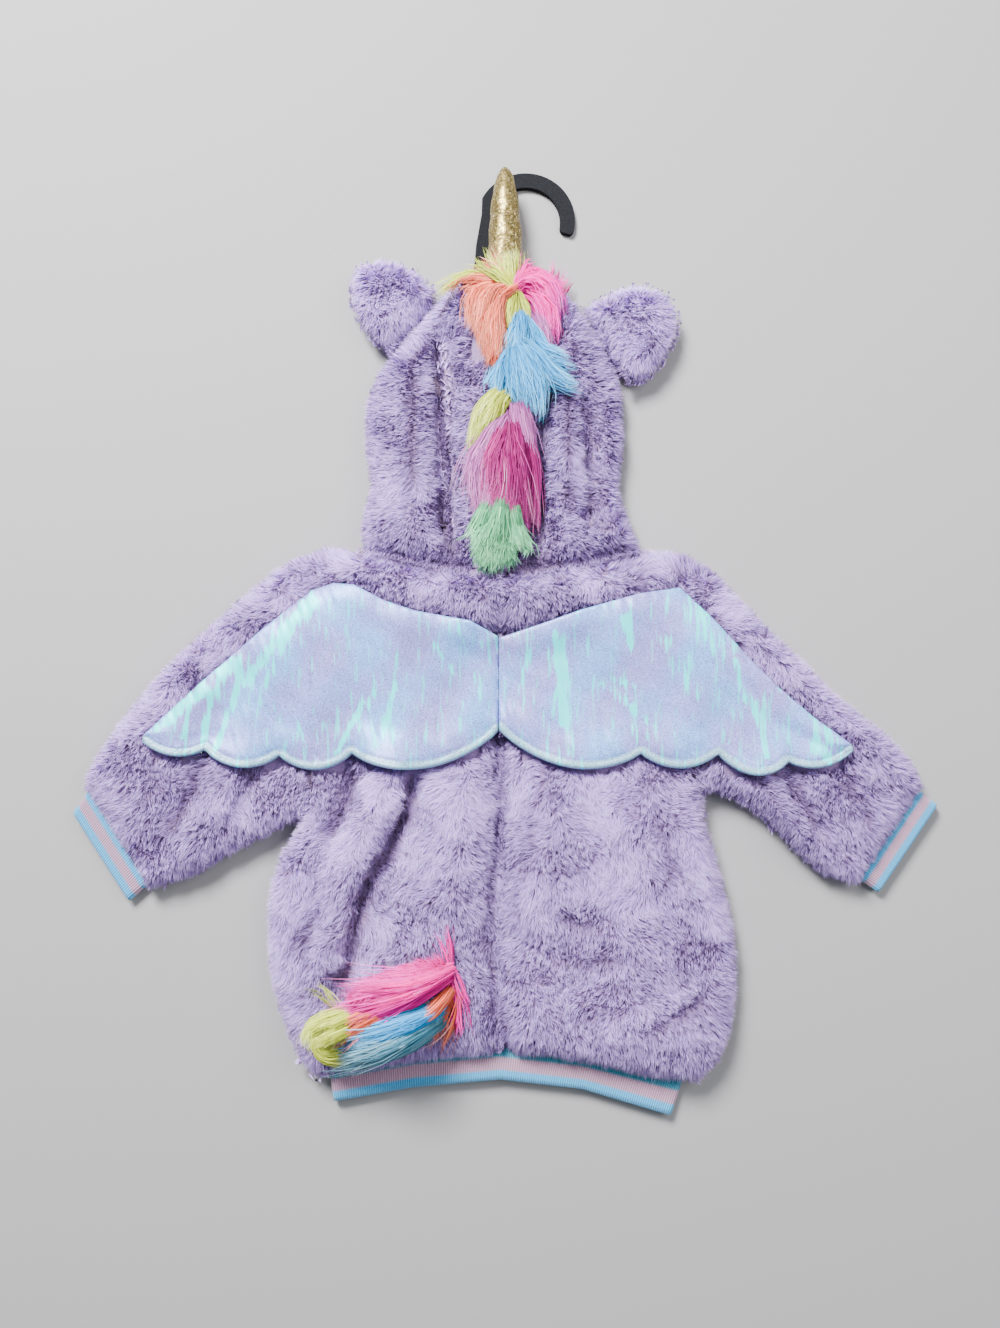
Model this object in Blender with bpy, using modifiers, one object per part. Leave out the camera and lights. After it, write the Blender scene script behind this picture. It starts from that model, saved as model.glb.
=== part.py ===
"""Hooded toddler unicorn costume, laid back up on a surface, with its flat hanger inside.

Metres, +Z up. The floor is Z = 0, +Y runs from the hem to the horn, and +X is the
right-hand side of the view from above. Each cut piece is one closed wall of plush, rib
or padded cloth, lofted between its own edge lines.
"""

import math

import bmesh
import bpy
from mathutils import Vector
from mathutils.geometry import intersect_point_line

# Driving dimensions
ORIGIN_Y = .00295
SEAM = .0003
PLUSH = .009
PLATE_TOP = .0090
RIM = PLATE_TOP + SEAM
FLAT_HEIGHT = .0215
LEAST_HEIGHT = RIM + PLUSH + .0004
ROLL = .014
UNDER_ROLL = .009
CENTRE_BACK = -.0030
RIB_HEIGHT = .0090
RIB_WALL = .0032
RIB_PITCH = .0040
RIB_RISE = .0006
WING_PAD = .0052
WING_EDGE = .0028
HANGER_THICK = .0040
PLATE_EDGE = .0015
FRONT_NECK = (-.0030, .0247)
CUFF_INSET = .035
HALF_BACK_WIDTH = .150
FRONT_WIDTH = .300
FRONT_LENGTH = .340
FRONT_SHOULDERS = (.025, .029)
SLEEVE_LENGTH = .150
HOOD_STEPS = 14
WIDEST_ROLL = .98
DEEPEST_WALL = .8
ROUND_ANGLES = (90, 62, 30)
UNDER_TURN = 1 - math.sin(math.radians(45))
UNDER_MIDDLES = (.65, .35)
STRIP_COLUMNS = 4
WING_STEPS = 30
WING_BORDER = .0052
WING_REACH = .010
LOCK_EDGE = .0008
LOCK_REACH = .95
BAND_GAP = .0009

# Edge lines, seen from above. Each row is one point, X then Y.
NECK_BACK = {
    "left": [(CENTRE_BACK, .0303), (-.040, .0335), (-.097, .0485)],
    "right": [(CENTRE_BACK, .0303), (.020, .0285), (.093, .0475)],
}
SHOULDER = {
    "left": [(-.097, .0485), (-.122, .050)],
    "right": [(.093, .0475), (.122, .046)],
}
ARMHOLE = {
    "left": [(-.122, .050), (-.134, -.131)],
    "right": [(.122, .046), (.130, -.115)],
}
BODY_SIDE = {
    "left": [(-.134, -.131), (-.144, -.145), (-.150, -.159), (-.154, -.172), (-.157, -.190),
             (-.156, -.215), (-.152, -.242), (-.144, -.265), (-.137, -.281), (-.124, -.296)],
    "right": [(.130, -.115), (.134, -.140), (.140, -.159), (.145, -.183), (.150, -.205),
              (.152, -.228), (.150, -.255), (.147, -.273), (.139, -.288), (.124, -.300)],
}
HEM = {
    "left": [(CENTRE_BACK, -.285), (-.030, -.286), (-.062, -.290), (-.095, -.296), (-.124, -.296)],
    "right": [(CENTRE_BACK, -.285), (.030, -.285), (.062, -.291), (.095, -.299), (.124, -.300)],
}
SLEEVE_UPPER = {
    "left": [(-.122, .050), (-.150, .040), (-.179, .014), (-.206, -.010), (-.232, -.035),
             (-.253, -.063), (-.271, -.086), (-.280, -.110)],
    "right": [(.122, .046), (.142, .033), (.168, .004), (.196, -.023), (.222, -.051),
              (.248, -.070), (.268, -.090), (.278, -.110)],
}
SLEEVE_LOWER = {
    "left": [(-.134, -.131), (-.150, -.138), (-.167, -.147), (-.184, -.157), (-.200, -.167),
             (-.214, -.172), (-.225, -.175), (-.235, -.178)],
    "right": [(.130, -.115), (.146, -.116), (.162, -.124), (.180, -.140), (.196, -.157),
              (.208, -.169), (.221, -.172), (.233, -.174)],
}
CUFF_END = {
    "left": [(-.2885, -.128), (-.249, -.1865)],
    "right": [(.2885, -.123), (.247, -.181)],
}
BAND_LOW = [(-.1125, -.3150), (-.060, -.3060), (-.0035, -.3010), (.050, -.3070), (.1085, -.3240)]
BAND_HIGH = [(-.1170, -.2840), (-.060, -.2740), (-.0035, -.2690), (.050, -.2750), (.1205, -.2900)]

# Hood lines, from the neck to the crown. Each row is one section: where the panel
# leaves the centre strip, the fold at its outer edge, and its end at the face opening.
HOOD_SECTIONS = {
    "left": [((-.040, .0343), (-.097, .0493), (-.0035, .0253)),
             ((-.039, .064), (-.098, .066), (-.032, .060)),
             ((-.039, .090), (-.092, .094), (-.055, .094)),
             ((-.041, .118), (-.0955, .121), (-.060, .120)),
             ((-.043, .146), (-.0965, .147), (-.058, .146)),
             ((-.044, .172), (-.087, .1725), (-.054, .166)),
             ((-.043, .196), (-.066, .199), (-.044, .186)),
             ((-.036, .215), (-.048, .221), (-.034, .199)),
             ((-.024, .229), (-.0245, .2415), (-.0245, .208))],
    "right": [((.020, .0293), (.093, .0483), (-.0025, .0253)),
              ((.018, .060), (.084, .066), (.028, .060)),
              ((.018, .088), (.077, .093), (.049, .094)),
              ((.021, .114), (.081, .119), (.054, .120)),
              ((.024, .142), (.081, .147), (.053, .146)),
              ((.027, .170), (.077, .172), (.050, .166)),
              ((.028, .194), (.065, .196), (.042, .186)),
              ((.027, .213), (.050, .220), (.034, .199)),
              ((.022, .229), (.0245, .2415), (.0245, .208))],
}
CROWN_EDGE = .2430
CROWN_RIM = .2100
CROWN_LIFT = HANGER_THICK + SEAM

# Relief of the plush: ridge or trough lines with their width and rise
FOLDS = [
    # name, start X, start Y, end X, end Y, width, rise
    ("hanger_left", -.130, -.012, -.010, .026, .030, .0070),
    ("hanger_right", .130, -.012, .010, .026, .030, .0070),
    ("collar_left", -.100, .034, -.010, .009, .010, .0060),
    ("collar_right", .108, .032, .004, .009, .010, .0060),
    ("neck_groove_left", -.085, .047, -.003, .0310, .006, -.0040),
    ("neck_groove_right", .082, .046, -.003, .0310, .006, -.0040),
    ("centre_back", CENTRE_BACK, .005, CENTRE_BACK, -.283, .006, -.0050),
    ("back_puff_left", -.085, -.140, -.095, -.235, .050, .0045),
    ("back_puff_right", .075, -.140, .080, -.240, .055, .0075),
    ("hem_puff_left", -.115, -.264, -.020, -.257, .020, .0060),
    ("hem_puff_right", .115, -.268, .020, -.258, .022, .0065),
    ("left_ridge_inner", -.022, -.116, -.034, -.190, .013, .0065),
    ("left_trough_upper", -.0594, -.103, -.0824, -.158, .008, -.0075),
    ("left_trough_lower", -.0850, -.164, -.1050, -.235, .008, -.0070),
    ("left_ridge_upper", -.0735, -.106, -.0975, -.163, .009, .0100),
    ("left_ridge_lower", -.1000, -.169, -.1170, -.228, .010, .0090),
    ("left_trough_outer", -.1190, -.185, -.1340, -.215, .007, -.0040),
    ("left_underarm", -.0990, -.098, -.1140, -.143, .007, -.0060),
    ("right_ridge_upper", .032, -.116, .018, -.195, .012, .0060),
    ("right_ridge_side", .118, -.124, .130, -.180, .010, .0035),
    ("right_trough_low", .045, -.262, .110, -.240, .008, -.0035),
    ("sleeve_left_ridge", -.180, -.100, -.212, -.150, .009, .0070),
    ("sleeve_left_ridge_outer", -.222, -.098, -.240, -.128, .009, .0060),
    ("sleeve_left_trough", -.202, -.098, -.222, -.145, .006, -.0040),
    ("sleeve_left_edge", -.160, .006, -.250, -.086, .011, .0045),
    ("sleeve_right_ridge", .166, -.106, .200, -.146, .009, .0070),
    ("sleeve_right_ridge_outer", .205, -.106, .235, -.132, .009, .0060),
    ("sleeve_right_trough", .186, -.104, .214, -.146, .006, -.0040),
    ("sleeve_right_edge", .150, .000, .246, -.088, .011, .0045),
    ("hood_seam_left", -.039, .060, -.044, .200, .006, -.0060),
    ("hood_seam_right", .018, .056, .028, .200, .006, -.0060),
    ("hood_ridge_left", -.060, .066, -.064, .178, .013, .0080),
    ("hood_ridge_right", .040, .060, .046, .196, .011, .0080),
    ("hood_groove_right", .062, .070, .058, .140, .006, -.0040),
    ("hood_strip", -.012, .060, -.004, .205, .022, .0060),
    ("hood_base_left", -.080, .062, -.050, .052, .010, .0045),
    ("hood_base_right", .075, .062, .040, .048, .010, .0045),
]

# Wing outline and scallops for each side
WING_TOP = {
    "left": [(-.0050, -.0125), (-.023, -.003), (-.060, .004), (-.080, .011), (-.099, .021),
             (-.113, .0225), (-.127, .018), (-.156, -.005), (-.192, -.036), (-.220, -.062),
             (-.2365, -.078)],
    "right": [(-.0040, -.0135), (.023, -.005), (.049, .004), (.087, .015), (.115, .0195),
              (.134, .001), (.157, -.024), (.180, -.047), (.202, -.066), (.2265, -.084)],
}
WING_NOTCHES = {
    "left": [(-.0050, -.0745), (-.100, -.0890), (-.1480, -.0905), (-.1960, -.0865),
             (-.2365, -.0815)],
    "right": [(-.0040, -.0735), (.088, -.0890), (.139, -.0895), (.184, -.0945), (.2265, -.0875)],
}
WING_LOWEST = {
    "left": [-.0990, -.1000, -.0985, -.0910],
    "right": [-.0985, -.0990, -.1035, -.0985],
}

# Stuffed outlines
EAR_OUTLINE = {
    "left": [(-.0464, .2282), (-.0583, .2415), (-.0750, .2505), (-.0920, .2520), (-.1040, .2450),
             (-.1075, .2300), (-.1055, .2140), (-.0985, .2005), (-.0895, .1900), (-.0785, .1845),
             (-.0690, .1940), (-.0590, .2070), (-.0490, .2192)],
    "right": [(.0538, .2170), (.0645, .2242), (.0790, .2310), (.0940, .2335), (.1090, .2300),
              (.1185, .2180), (.1205, .2030), (.1140, .1860), (.1060, .1730), (.0955, .1635),
              (.0840, .1642), (.0733, .1802), (.0652, .1950), (.0588, .2055)],
}
EAR_LAYERS = [
    # name, height above the floor, share of the outline
    ("under", .0030, .55),
    ("low", .0045, .86),
    ("edge", .0120, 1.0),
    ("upper", .0205, .86),
    ("top", .0245, .50),
]
HORN_BASE_Y = .2436
HORN_HEIGHT = .0172
HORN_TILT = .035
HORN_PROFILE = [
    # name, radius, length from the base
    ("base", .0124, .0000),
    ("skirt", .0122, .0090),
    ("crease_low", .0112, .0170),
    ("swell_low", .0113, .0215),
    ("crease_mid", .0100, .0330),
    ("swell_mid", .0101, .0375),
    ("crease_high", .0084, .0480),
    ("shoulder", .0079, .0560),
    ("near_tip", .0054, .0640),
    ("tip_round", .0030, .0680),
    ("tip", .0000, .0700),
]

# Fur locks: a row for each section, centre X and Y, half width, rise above what it lies on
LOCKS = {
    "mane_coral": [(-.016, .2240, .009, .008), (-.016, .2120, .011, .012), (-.014, .1960, .010, .012),
                   (-.009, .1780, .008, .010), (-.004, .1640, .004, .006)],
    "mane_pink": [(.009, .2260, .005, .008), (.018, .2240, .009, .012), (.026, .2150, .009, .012),
                  (.029, .2000, .008, .010), (.029, .1850, .0045, .006)],
    "mane_lime_upper": [(.0020, .2190, .0030, .008), (.0015, .2090, .0040, .010),
                        (-.0002, .1970, .0025, .007)],
    "mane_blue": [(.009, .2010, .0045, .006), (.011, .1870, .008, .011), (.014, .1710, .014, .014),
                  (.016, .1570, .016, .014), (.017, .1470, .010, .009)],
    "mane_lime": [(-.002, .1450, .0040, .006), (-.009, .1360, .0070, .010), (-.016, .1240, .0060, .009),
                  (-.0215, .1120, .0030, .005)],
    "mane_magenta": [(.009, .1380, .0050, .006), (.008, .1280, .0080, .011), (.002, .1130, .0130, .014),
                     (-.003, .0950, .0190, .015), (-.005, .0780, .0210, .013), (-.001, .0660, .0170, .010),
                     (.001, .0600, .0120, .006)],
    "mane_green": [(-.006, .055, .014, .005), (-.007, .047, .018, .008), (-.007, .038, .016, .006),
                   (-.006, .031, .011, .003)],
    "tail_pink": [(-.036, -.226, .008, .010), (-.050, -.229, .0115, .020), (-.065, -.233, .0125, .022),
                  (-.082, -.239, .012, .020), (-.097, -.246, .009, .014)],
    "tail_blue": [(-.040, -.249, .006, .010), (-.053, -.256, .010, .018), (-.068, -.2625, .011, .020),
                  (-.083, -.2685, .010, .018), (-.093, -.273, .006, .012)],
    "tail_lime": [(-.101, -.258, .008, .012), (-.108, -.2605, .012, .016), (-.115, -.263, .011, .014),
                  (-.1205, -.2655, .006, .008)],
}

# Hanger, seen from above: hook, stem and arms
HOOK_CENTRE = (.0145, .2835)
HOOK_RADIUS = .0294
HOOK_BAR = .0105
HOOK_FROM = -10
HOOK_TO = 152
HOOK_STEPS = 24
HOOK_TIP = [(-18, .62), (-15, .88)]
STEM_ROWS = [
    # centre X, Y, half width, lift above the floor
    (-.0112, .288, .0052, .0000),
    (-.0150, .266, .0052, .0000),
    (-.0170, .238, .0056, .0000),
    (-.0130, .208, .0075, .0000),
    (-.0040, .175, .0100, .0000),
    (.0000, .112, .0100, .0000),
    (.0000, .072, .0100, RIM),
    (.0000, .030, .0100, RIM),
    (.0000, .008, .0100, RIM),
]
ARM_ROWS = [
    # X, Y of the middle line, half width
    (.0100, .0190, .0110),
    (.0550, .0090, .0075),
    (.0950, -.0040, .0065),
    (.1320, -.0240, .0050),
]

COLOURS = {
    # name: base colour, roughness, metallic
    "plush": ((.56, .47, .68), .95, 0.0),
    "wing": ((.74, .74, .82), .35, 0.2),
    "horn": ((.83, .62, .27), .30, 0.9),
    "rib": ((.30, .62, .82), .85, 0.0),
    "hanger": ((.015, .015, .017), .45, 0.0),
    "mane_coral": ((.95, .38, .20), .85, 0.0),
    "mane_pink": ((.95, .16, .42), .85, 0.0),
    "mane_blue": ((.22, .62, .85), .85, 0.0),
    "mane_lime": ((.72, .85, .22), .85, 0.0),
    "mane_lime_upper": ((.72, .85, .22), .85, 0.0),
    "mane_magenta": ((.80, .30, .62), .85, 0.0),
    "mane_green": ((.42, .85, .50), .85, 0.0),
    "tail_pink": ((.96, .20, .48), .85, 0.0),
    "tail_blue": ((.40, .70, .85), .85, 0.0),
    "tail_lime": ((.82, .88, .32), .85, 0.0),
}


def clear_scene():
    for thing in list(bpy.data.objects):
        bpy.data.objects.remove(thing)


def material(name):
    colour, roughness, metallic = COLOURS[name]
    made = bpy.data.materials.new(name)
    made.use_nodes = True
    shader = made.node_tree.nodes["Principled BSDF"]
    shader.inputs["Base Color"].default_value = (*colour, 1)
    shader.inputs["Roughness"].default_value = roughness
    shader.inputs["Metallic"].default_value = metallic
    return made


def finish(name, mesh, look):
    mesh.shade_smooth()
    mesh.set_sharp_from_angle(angle=math.radians(50))
    mesh.materials.append(material(look))
    made = bpy.data.objects.new(name, mesh)
    costume.objects.link(made)
    made.parent = origin
    return made


def mix(a, b, share):
    return a + (b - a) * share


def line_at(points, share):
    """The point at a share of the length of a line of points."""
    lengths = [math.dist(a, b) for a, b in zip(points, points[1:])]
    left = max(0.0, min(1.0, share)) * sum(lengths)
    for (a, b), length in zip(zip(points, points[1:]), lengths):
        if left <= length + 1e-12:
            return tuple(mix(p, q, left / length) for p, q in zip(a, b))
        left -= length
    return points[-1]


def line_length(points):
    return sum(math.dist(a, b) for a, b in zip(points, points[1:]))


def height_at_x(points, x):
    """Y of a line of points at one X."""
    ordered = sorted(points)
    for a, b in zip(ordered, ordered[1:]):
        if x <= b[0]:
            return mix(a[1], b[1], max(0.0, (x - a[0]) / (b[0] - a[0])))
    return ordered[-1][1]


def bulge(distance, reach):
    """1 over a panel, falling in a quarter round to 0 at its folded edge."""
    if distance >= reach:
        return 1.0
    return math.sqrt(max(0.0, 1 - (1 - max(0.0, distance) / reach) ** 2))


def top_height(x, y):
    """Height of the plush above the floor, away from its edges."""
    spot = Vector((x, y, 0))
    height = FLAT_HEIGHT
    for _, start_x, start_y, end_x, end_y, width, rise in FOLDS:
        start = Vector((start_x, start_y, 0))
        end = Vector((end_x, end_y, 0))
        nearest, share = intersect_point_line(spot, start, end)
        if share < 0:
            nearest = start
        elif share > 1:
            nearest = end
        height += rise * math.exp(-((spot - nearest).length / width) ** 2)
    return max(LEAST_HEIGHT, height)


def rest_height(x, y, reach=.007):
    """Height for a piece that lies on the plush: the highest plush close by."""
    around = [(dx * reach, dy * reach) for dx in (-1, 0, 1) for dy in (-1, 0, 1)]
    return max(top_height(x + dx, y + dy) for dx, dy in around) + SEAM


def wall(name, outer, inner, look, closed=False):
    """A closed wall from an outer and an inner grid of points, row by row.

    A grid is open at its first and last rows, and at both ends of its rows unless closed.
    """
    mesh = bpy.data.meshes.new(name)
    shape = bmesh.new()
    skins = [[[shape.verts.new(point) for point in row] for row in grid] for grid in (outer, inner)]
    rows = len(outer)
    columns = len(outer[0])
    spans = columns if closed else columns - 1
    for row in range(rows - 1):
        for column in range(spans):
            after = (column + 1) % columns
            a, b = skins[0][row][column], skins[0][row][after]
            c, d = skins[0][row + 1][after], skins[0][row + 1][column]
            shape.faces.new((a, b, c, d))
            a, b = skins[1][row][column], skins[1][row][after]
            c, d = skins[1][row + 1][after], skins[1][row + 1][column]
            shape.faces.new((d, c, b, a))
    for column in range(spans):
        after = (column + 1) % columns
        first, last = [skin[0] for skin in skins], [skin[-1] for skin in skins]
        shape.faces.new((first[1][column], first[1][after], first[0][after], first[0][column]))
        shape.faces.new((last[0][column], last[0][after], last[1][after], last[1][column]))
    if not closed:
        for row in range(rows - 1):
            a, b = skins[0][row], skins[1][row]
            c, d = skins[0][row + 1], skins[1][row + 1]
            shape.faces.new((a[0], c[0], d[0], b[0]))
            shape.faces.new((b[-1], d[-1], c[-1], a[-1]))
    close_mesh(shape, mesh)
    return finish(name, mesh, look)


def close_mesh(shape, mesh):
    bmesh.ops.triangulate(shape, faces=shape.faces[:])
    bmesh.ops.recalc_face_normals(shape, faces=shape.faces[:])
    if shape.calc_volume(signed=True) < 0:
        bmesh.ops.reverse_faces(shape, faces=shape.faces[:])
    shape.to_mesh(mesh)
    shape.free()


def solid_of_rings(name, rings, look):
    """A closed solid through rings of points, capped at both ends."""
    mesh = bpy.data.meshes.new(name)
    shape = bmesh.new()
    made = [[shape.verts.new(point) for point in ring] for ring in rings]
    for low, high in zip(made, made[1:]):
        for index in range(len(low)):
            after = (index + 1) % len(low)
            shape.faces.new((low[index], low[after], high[after], high[index]))
    shape.faces.new(made[0][::-1])
    shape.faces.new(made[-1])
    close_mesh(shape, mesh)
    return finish(name, mesh, look)


def patch(top, bottom, middle, side, across, down):
    """Point of a Coons patch between four edge lines, at shares across and down."""
    t, b = line_at(top, across), line_at(bottom, across)
    m, s = line_at(middle, down), line_at(side, down)
    corners = (top[0], top[-1], bottom[0], bottom[-1])
    point = []
    for axis in (0, 1):
        ruled = mix(t[axis], b[axis], down) + mix(m[axis], s[axis], across)
        upper = mix(corners[0][axis], corners[1][axis], across)
        lower = mix(corners[2][axis], corners[3][axis], across)
        point.append(ruled - mix(upper, lower, down))
    return point


def shares_with_roll(count, length, roll_at_start, roll_at_end, reach=ROLL):
    """Even shares from 0 to 1, with closer ones where the edge rolls over."""
    roll = [reach / length * (1 - math.sin(math.radians(angle))) for angle in ROUND_ANGLES]
    start = roll if roll_at_start else [0.0]
    end = [1 - share for share in reversed(roll)] if roll_at_end else [1.0]
    low = reach / length if roll_at_start else 0.0
    high = 1 - reach / length if roll_at_end else 1.0
    inside = [mix(low, high, index / (count - 1)) for index in range(count)]
    if not roll_at_start:
        inside = inside[1:]
    if not roll_at_end:
        inside = inside[:-1]
    return start + inside + end


def with_share(shares, wanted):
    """The shares with the nearest one moved to the wanted share."""
    nearest = min(shares, key=lambda share: abs(share - wanted))
    return [wanted if share == nearest else share for share in shares]


def armhole_edge(side):
    """The armhole line of the body, half a seam inside the sleeve's."""
    sign = -1 if side == "left" else 1
    return [(x - sign * SEAM / 2, y) for x, y in ARMHOLE[side]]


def body_back(side):
    """One half of the back: centre seam, neck, shoulder, armhole, side fold and hem."""
    sign = -1 if side == "left" else 1
    centre = CENTRE_BACK + sign * SEAM / 2
    neck = [(centre, NECK_BACK[side][0][1])] + NECK_BACK[side][1:]
    top = neck + SHOULDER[side][1:]
    edge = armhole_edge(side) + BODY_SIDE[side][1:]
    top[-1] = edge[0]
    bottom = [(centre, HEM[side][0][1])] + HEM[side][1:]
    middle = [top[0], bottom[0]]
    width, length = HALF_BACK_WIDTH, line_length(middle)
    neck_share = line_length(neck) / line_length(top)
    under_share = line_length(ARMHOLE[side]) / line_length(edge)

    def at(across, down):
        return patch(top, bottom, middle, edge, across, down)

    def roll_of(across, down):
        to_side = (1 - across) * width
        to_underarm = max(0.0, under_share - down) * length
        to_hem = (1 - down) * length
        past_neck = max(0.0, neck_share - across) * width
        side_distance = math.hypot(to_side, to_underarm)
        shoulder_distance = math.hypot(past_neck, down * length)
        nearest = min(side_distance, shoulder_distance, to_hem)
        full = bulge(nearest, ROLL)
        if nearest == to_hem:
            return full, (0, -1)
        if nearest == shoulder_distance:
            away = (past_neck, down * length)
            size = max(1e-9, shoulder_distance)
            return full, (-away[0] / size, away[1] / size)
        size = max(1e-9, side_distance)
        if side_distance < 1e-9:
            return full, (-1, 0)
        return full, (-to_side / size, -to_underarm / size)

    acrosses = with_share(shares_with_roll(10, width, False, True), neck_share)
    downs = with_share(shares_with_roll(25, length, True, True), under_share)
    outer, inner = [], []
    for down in downs:
        outer_row, inner_row = [], []
        for across in acrosses:
            full, inward = roll_of(across, down)
            x, y = at(across, down)
            rise = top_height(x, y) - RIM
            outer_row.append((x, y, RIM + rise * full))
            inset = PLUSH * math.sqrt(1 - full * full)
            x, y = at(across + inward[0] * inset / width, down + inward[1] * inset / length)
            inner_row.append((x, y, max(RIM, RIM + rise * full - PLUSH * full)))
        outer.append(outer_row)
        inner.append(inner_row)
    return wall("back_" + side, outer, inner, "plush")


def body_front():
    """The plain front panel, flat on the surface, up to the rib at the hem."""
    left = armhole_edge("left") + BODY_SIDE["left"][1:-1]
    right = armhole_edge("right") + BODY_SIDE["right"][1:-1]
    neck = [left[0], SHOULDER["left"][0], FRONT_NECK, SHOULDER["right"][0], right[0]]
    hem = [left[-1]] + [(x, y + BAND_GAP) for x, y in BAND_HIGH] + [right[-1]]
    width, length = FRONT_WIDTH, FRONT_LENGTH
    neck_shares = [FRONT_SHOULDERS[0] / width, 1 - FRONT_SHOULDERS[1] / width]
    under_shares = [line_length(ARMHOLE[side]) / line_length(edge)
                    for side, edge in (("left", left), ("right", right))]

    def roll_at(across, down):
        past_left = max(0.0, across - neck_shares[0]) * width
        past_right = max(0.0, neck_shares[1] - across) * width
        shoulder = math.hypot(min(past_left, past_right), down * length)
        to_left = math.hypot(across * width, max(0.0, under_shares[0] - down) * length)
        to_right = math.hypot((1 - across) * width, max(0.0, under_shares[1] - down) * length)
        return bulge(min(shoulder, to_left, to_right), UNDER_ROLL)

    acrosses = shares_with_roll(13, width, True, True, UNDER_ROLL)
    acrosses = with_share(acrosses, line_length(neck[:3]) / line_length(neck))
    downs = sorted(shares_with_roll(9, length, True, False, UNDER_ROLL) + under_shares)
    outer, inner = [], []
    for down in downs:
        outer_row, inner_row = [], []
        for across in acrosses:
            x, y = patch(neck, hem, left, right, across, down)
            outer_row.append((x, y, (PLATE_TOP - PLATE_EDGE) * (1 - roll_at(across, down))))
            inner_row.append((x, y, PLATE_TOP))
        outer.append(outer_row)
        inner.append(inner_row)
    return wall("front", outer, inner, "plush")


def sleeve(side):
    """A sleeve laid flat: one tube of plush from the armhole to the cuff seam."""
    sign = -1 if side == "left" else 1
    upper = [(SLEEVE_UPPER[side][0][0] + sign * SEAM / 2, SLEEVE_UPPER[side][0][1])]
    upper += SLEEVE_UPPER[side][1:]
    lower = [(SLEEVE_LOWER[side][0][0] + sign * SEAM / 2, SLEEVE_LOWER[side][0][1])]
    lower += SLEEVE_LOWER[side][1:]
    length = SLEEVE_LENGTH

    def at(along, across):
        start, end = line_at(upper, along), line_at(lower, along)
        return mix(start[0], end[0], across), mix(start[1], end[1], across)

    outer, inner = [], []
    for along in shares_with_roll(10, length, False, True):
        width = math.dist(at(along, 0), at(along, 1))
        to_cuff = (1 - along) * length
        outer_ring, inner_ring = [], []
        for across in shares_with_roll(7, width, True, True):
            to_fold = min(across, 1 - across) * width
            full = bulge(min(to_fold, to_cuff), ROLL)
            x, y = at(along, across)
            rise = top_height(x, y) - RIM
            outer_ring.append((x, y, RIM + rise * full))
            inset = PLUSH * math.sqrt(1 - full * full)
            end_inset = inset if to_cuff < to_fold else 0.0
            toward = math.copysign(inset - end_inset, .5 - across)
            if to_fold < 1e-9:
                toward = math.copysign(PLUSH, .5 - across)
                end_inset = PLUSH * math.sqrt(1 - bulge(to_cuff, ROLL) ** 2)
            if abs(to_cuff) < 1e-9 and to_fold < PLUSH:
                toward = math.copysign(PLUSH - to_fold, .5 - across)
            x, y = at(along - end_inset / length, across + toward / width)
            inner_ring.append((x, y, max(RIM, RIM + (rise - PLUSH) * full)))
        near, far = UNDER_ROLL / width * UNDER_TURN, UNDER_ROLL / width
        shares = [1 - near, 1 - far, *UNDER_MIDDLES, far, near]
        for across in shares:
            to_fold = min(across, 1 - across) * width
            x, y = at(along, across)
            outer_ring.append((x, y, PLATE_TOP * (1 - bulge(to_fold, UNDER_ROLL))))
            inside = mix(PLUSH / width, 1 - PLUSH / width, across)
            x, y = at(along, inside)
            inner_ring.append((x, y, PLATE_TOP))
        outer.append(outer_ring)
        inner.append(inner_ring)
    return wall("sleeve_" + side, outer, inner, "plush", closed=True)


def rib_tube(name, high, low):
    """A flattened tube of rib knit between its seam line and its outer edge."""
    width = line_length(low)
    ribs = round(width / RIB_PITCH)
    middle = RIB_HEIGHT / 2
    fold = RIB_HEIGHT / 2
    inset = RIB_WALL / width
    rows = (0.0, .5, 1.0)
    outer, inner = [], []
    for down in rows:
        outer_ring, inner_ring = [], []
        for step in range(2 * ribs + 1):
            share = step / (2 * ribs)
            to_fold = min(share, 1 - share) * width
            crest = RIB_HEIGHT - middle - (RIB_RISE if step % 2 == 0 else 0.0)
            outer_ring.append((share, middle + crest * bulge(to_fold, fold)))
            inside = RIB_HEIGHT - RIB_RISE - RIB_WALL - middle
            inner_ring.append((mix(inset, 1 - inset, share), middle + inside * bulge(to_fold, fold)))
        near, far = fold / width * UNDER_TURN, fold / width
        for share in (1 - near, 1 - far, *UNDER_MIDDLES, far, near):
            to_fold = min(share, 1 - share) * width
            full = bulge(to_fold, fold)
            outer_ring.append((share, middle - middle * full))
            inner_ring.append((mix(inset, 1 - inset, share), middle - (middle - RIB_WALL) * full))
        for ring, grid in ((outer_ring, outer), (inner_ring, inner)):
            row = []
            for share, height in ring:
                a, b = line_at(high, share), line_at(low, share)
                row.append((mix(a[0], b[0], down), mix(a[1], b[1], down), height))
            grid.append(row)
    return wall(name, outer, inner, "rib", closed=True)


def cuff(side):
    """The rib cuff, from just outside the sleeve's end to its own edge."""
    start, end = SLEEVE_UPPER[side][-1], SLEEVE_LOWER[side][-1]
    out = CUFF_END[side]
    axis = Vector((out[0][0] + out[1][0] - start[0] - end[0], out[0][1] + out[1][1] - start[1] - end[1]))
    axis.normalize()
    seam = []
    for share in (CUFF_INSET, 1 - CUFF_INSET):
        seam.append((mix(start[0], end[0], share) + axis.x * SEAM,
                     mix(start[1], end[1], share) + axis.y * SEAM))
    return rib_tube("cuff_" + side, seam, out)


def hood_lines(side):
    """The hood panel's three edge lines: at the centre strip, at the fold, at the face."""
    return [[row[index] for row in HOOD_SECTIONS[side]] for index in range(3)]


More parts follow.
